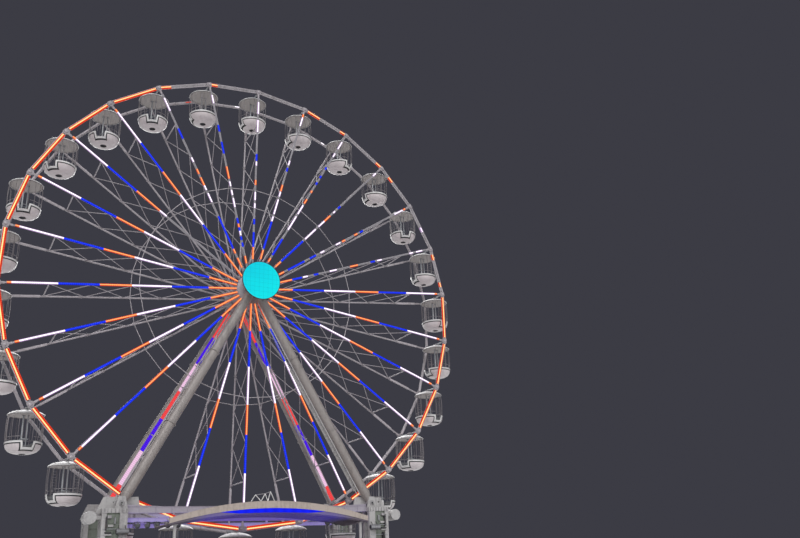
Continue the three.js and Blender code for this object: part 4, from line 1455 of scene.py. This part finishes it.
def buildRailing(where, start, end):
    piece = Piece("rail_" + where)
    start, end = (Vector((*at, deck["top"] + 0.001)) for at in (start, end))
    length = (end - start).length
    bays = int(-(-length // railing["bay"]))
    low, high = railing["levels"]
    piece.rod(zinc, start + up * railing["top"], end + up * railing["top"], railing["rail"])
    for z in railing["levels"]:
        piece.rod(zinc, start + up * z, end + up * z, 0.014, 8)
    for i in range(bays + 1):
        at = start.lerp(end, i / bays)
        piece.rod(zinc, at, at + up * railing["postTop"], railing["post"])
        piece.pad(zinc, at, 0.06, 0.06, 0.012, 0.003)
        piece.bolts(at + up * 0.012, up, 0.058, 4, 0.009, pi / 4)
    for k in range(1, int(length / railing["pitch"])):
        at = start.lerp(end, k * railing["pitch"] / length)
        piece.rod(zinc, at + up * low, at + up * high, railing["baluster"], 6)
    piece.done("stand", "galvanised_steel", "railing_" + where)


edge = deck["x"] - railing["inset"]
front, back = deck["front"] + railing["inset"], deck["back"] - railing["inset"]
buildDeck()
buildStair()
buildRailing("front_left", (-edge, front), (-stair["half"], front))
buildRailing("front_right", (stair["half"], front), (edge, front))
buildRailing("left", (-edge, front + 0.05), (-edge, back - 0.05))
buildRailing("right", (edge, front + 0.05), (edge, back - 0.05))
buildRailing("rear", (-edge, back), (edge, back))
print("deck and railings built")


# Canopy over the boarding side

canopy = {
    "half": 6.25, "top": (5.53, 0.92), "middle": (5.12, 0.80), "bottom": (4.87, 0.62), "roof": (4.94, 0.62),
    "front": -6.2, "fascia": 0.12, "back": -2.85, "steps": 48, "panel": 1.1, "seams": 12,
    "post": (5.85, -5.85), "postCrown": 4.82,
    "lens": [
        (-3.4, 4.90), (-2.6, 4.975), (-1.4, 5.075), (0, 5.115), (1.4, 5.075), (2.6, 4.975),
        (3.4, 4.90), (2.2, 4.82), (1.4, 4.845), (0, 4.868), (-1.4, 4.845), (-2.2, 4.82),
    ],
    "feet": ((-1.5, 5.48), (-0.87, 5.50), (-0.44, 5.51), (-0.02, 5.52)),
    "peaks": ((-1.22, 5.88), (-0.62, 5.95), (-0.28, 6.07)), "frame": -6.14,
}


def radiusOf(rise):
    return (canopy["half"] ** 2 + rise ** 2) / (2 * rise)


def arcBand(piece, finish, upper, lower, y0, y1):
    # a plate between two arcs across the front, each a crown height and a rise over the half span
    part = bmesh.new()
    rows = []
    for crown, rise in (upper, lower):
        radius = radiusOf(rise)
        angles = spread(canopy["steps"] + 1, -asin(canopy["half"] / radius), asin(canopy["half"] / radius))
        points = [(radius * sin(a), y0, crown - radius + radius * cos(a)) for a in angles]
        rows.append([part.verts.new(point) for point in points])
    high, low = rows
    faces = [part.faces.new(loop) for loop in zip(high, high[1:], low[1:], low)]
    piece.add(pushed(part, faces, (0, y1 - y0, 0)), finish)


def buildArch():
    piece = Piece("arch_fascia")
    y0, y1 = canopy["front"], canopy["front"] + canopy["fascia"]
    top, middle = canopy["top"], canopy["middle"]
    arcBand(piece, canopyPaint, top, middle, y0, y1)
    # the lower band carries the painted shade and the painted blue-violet lamp glow
    arcBand(piece, underShadeAndGlow, middle, canopy["bottom"], y0 + 0.03, y1)
    arcBand(piece, canopyPaint, top, (top[0] - 0.03, top[1]), y0 - 0.006, y0 + 0.03)
    # panel joints with small screws
    for k in range(-5, 6):
        x = k * canopy["panel"]
        share = (x / canopy["half"]) ** 2
        low, high = middle[0] + 0.05 - middle[1] * share, top[0] - 0.04 - top[1] * share
        piece.box(agedPaint, (x - 0.004, y0 - 0.002, low), (x + 0.004, y0 + 0.01, high), 0.001)
        for z in (low + 0.06, high - 0.06):
            piece.bolts((x, y0 + 0.006, z), (0, -1, 0), 0.035, 2, 0.007)
    piece.done("stand", "canopy", "canopy_arch")


def buildSoffitLamp():
    # the lit blue lens that runs under the middle of the arch
    piece = Piece("blue_lamp_band")
    part = bmesh.new()
    face = part.faces.new([part.verts.new((x, canopy["front"] + 0.012, z)) for x, z in canopy["lens"]])
    piece.add(soften(pushed(part, [face], (0, 0.04, 0)), 0.006), soffit)
    piece.done("stand", "display")


def buildRoof():
    piece = Piece("canopy_sheet")
    y0, y1 = canopy["front"] + canopy["fascia"] + 0.001, canopy["back"]
    crown, rise = canopy["roof"]
    radius = radiusOf(rise)

    def layer(finish, top, bottom, start, end):
        arcBand(piece, finish, (crown - top, rise), (crown - bottom, rise), start, end)

    layer(canopyPaint, 0, 0.01, y0, y1)
    # below the sheet: painted shade and painted lamp glow
    layer(underShadeAndGlow, 0.0105, 0.02, y0, y1)
    # purlins and ribs below the sheet, standing seams above it
    for y in spread(9, y0 + 0.03, y1 - 0.07):
        layer(underShadeAndGlow, 0.021, 0.119, y, y + 0.05)
    for k in range(-canopy["seams"], canopy["seams"] + 1):
        a = k * asin(canopy["half"] / radius) / (canopy["seams"] + 0.05)
        at = Vector((radius * sin(a), y0, crown - radius + radius * cos(a)))
        piece.bar(canopyPaint, at, moved(at, 0, y1 - y0, 0), 0.03, 0.03, (sin(a), 0, cos(a)), 0.004)
    piece.done("stand", "canopy", "canopy_roof")


def buildCanopyPost(side, sideX):
    piece = Piece("awning_post_" + side)
    x, y = canopy["post"]
    foot, radius = Vector((sideX * x, y, deck["top"] + 0.001)), radiusOf(canopy["roof"][1])
    top = foot.copy()
    top.z = canopy["postCrown"] - (radius - sqrt(radius ** 2 - x ** 2)) - 0.001
    piece.rod(whitePaint, foot, top, 0.09, 24)
    for at in (foot, top - up * 0.03):
        piece.rod(agedPaint, at, at + up * 0.03, 0.17, 24)
    base = foot + up * 0.03
    piece.bolts(base, up, 0.135, 6, 0.018)
    for k in range(4):
        step = Vector((cos(tau * k / 4 + pi / 4), sin(tau * k / 4 + pi / 4), 0))
        at = base + step * 0.11
        piece.bar(agedPaint, at, at + up * 0.14, 0.012, 0.07, step, 0.002)
    piece.done("stand", "white_steel", "canopy_post_" + side)


def buildTubeFrame():
    # the small white frame that stands on the arch, a zigzag of tubes under one top tube
    piece = Piece("arch_tube_frame")
    feet, peaks = ([Vector((x, canopy["frame"], z)) for x, z in canopy[word]] for word in ("feet", "peaks"))
    for k, peak in enumerate(peaks):
        piece.rod(shellBand, feet[k], peak, 0.024, 8)
        piece.rod(shellBand, peak, feet[k + 1], 0.024, 8)
    ends = moved(feet[0], 0.02, 0, 0.03), moved(feet[3], -0.02, 0, 0.03)
    piece.add(bent([ends[0], *peaks, ends[1]], 0.016), agedPaint)
    for foot in feet:
        piece.rod(agedPaint, foot - up * 0.03, foot + up * 0.03, 0.035, 10)
    piece.done("stand", "canopy")


buildArch()
buildSoffitLamp()
buildRoof()
for side in sides:
    buildCanopyPost(*side)
buildTubeFrame()
print("canopy built")


# Studio floor

ground = bmesh.new()
bmesh.ops.create_grid(ground, x_segments=1, y_segments=1, size=studio["floorSize"])
floorMesh = bpy.data.meshes.new("studio_floor")
ground.to_mesh(floorMesh)
floorMesh.materials.append(floorFinish())
floorPlane = show("studio_floor", floorMesh)
floorPlane.location.z = -studio["floorDrop"]
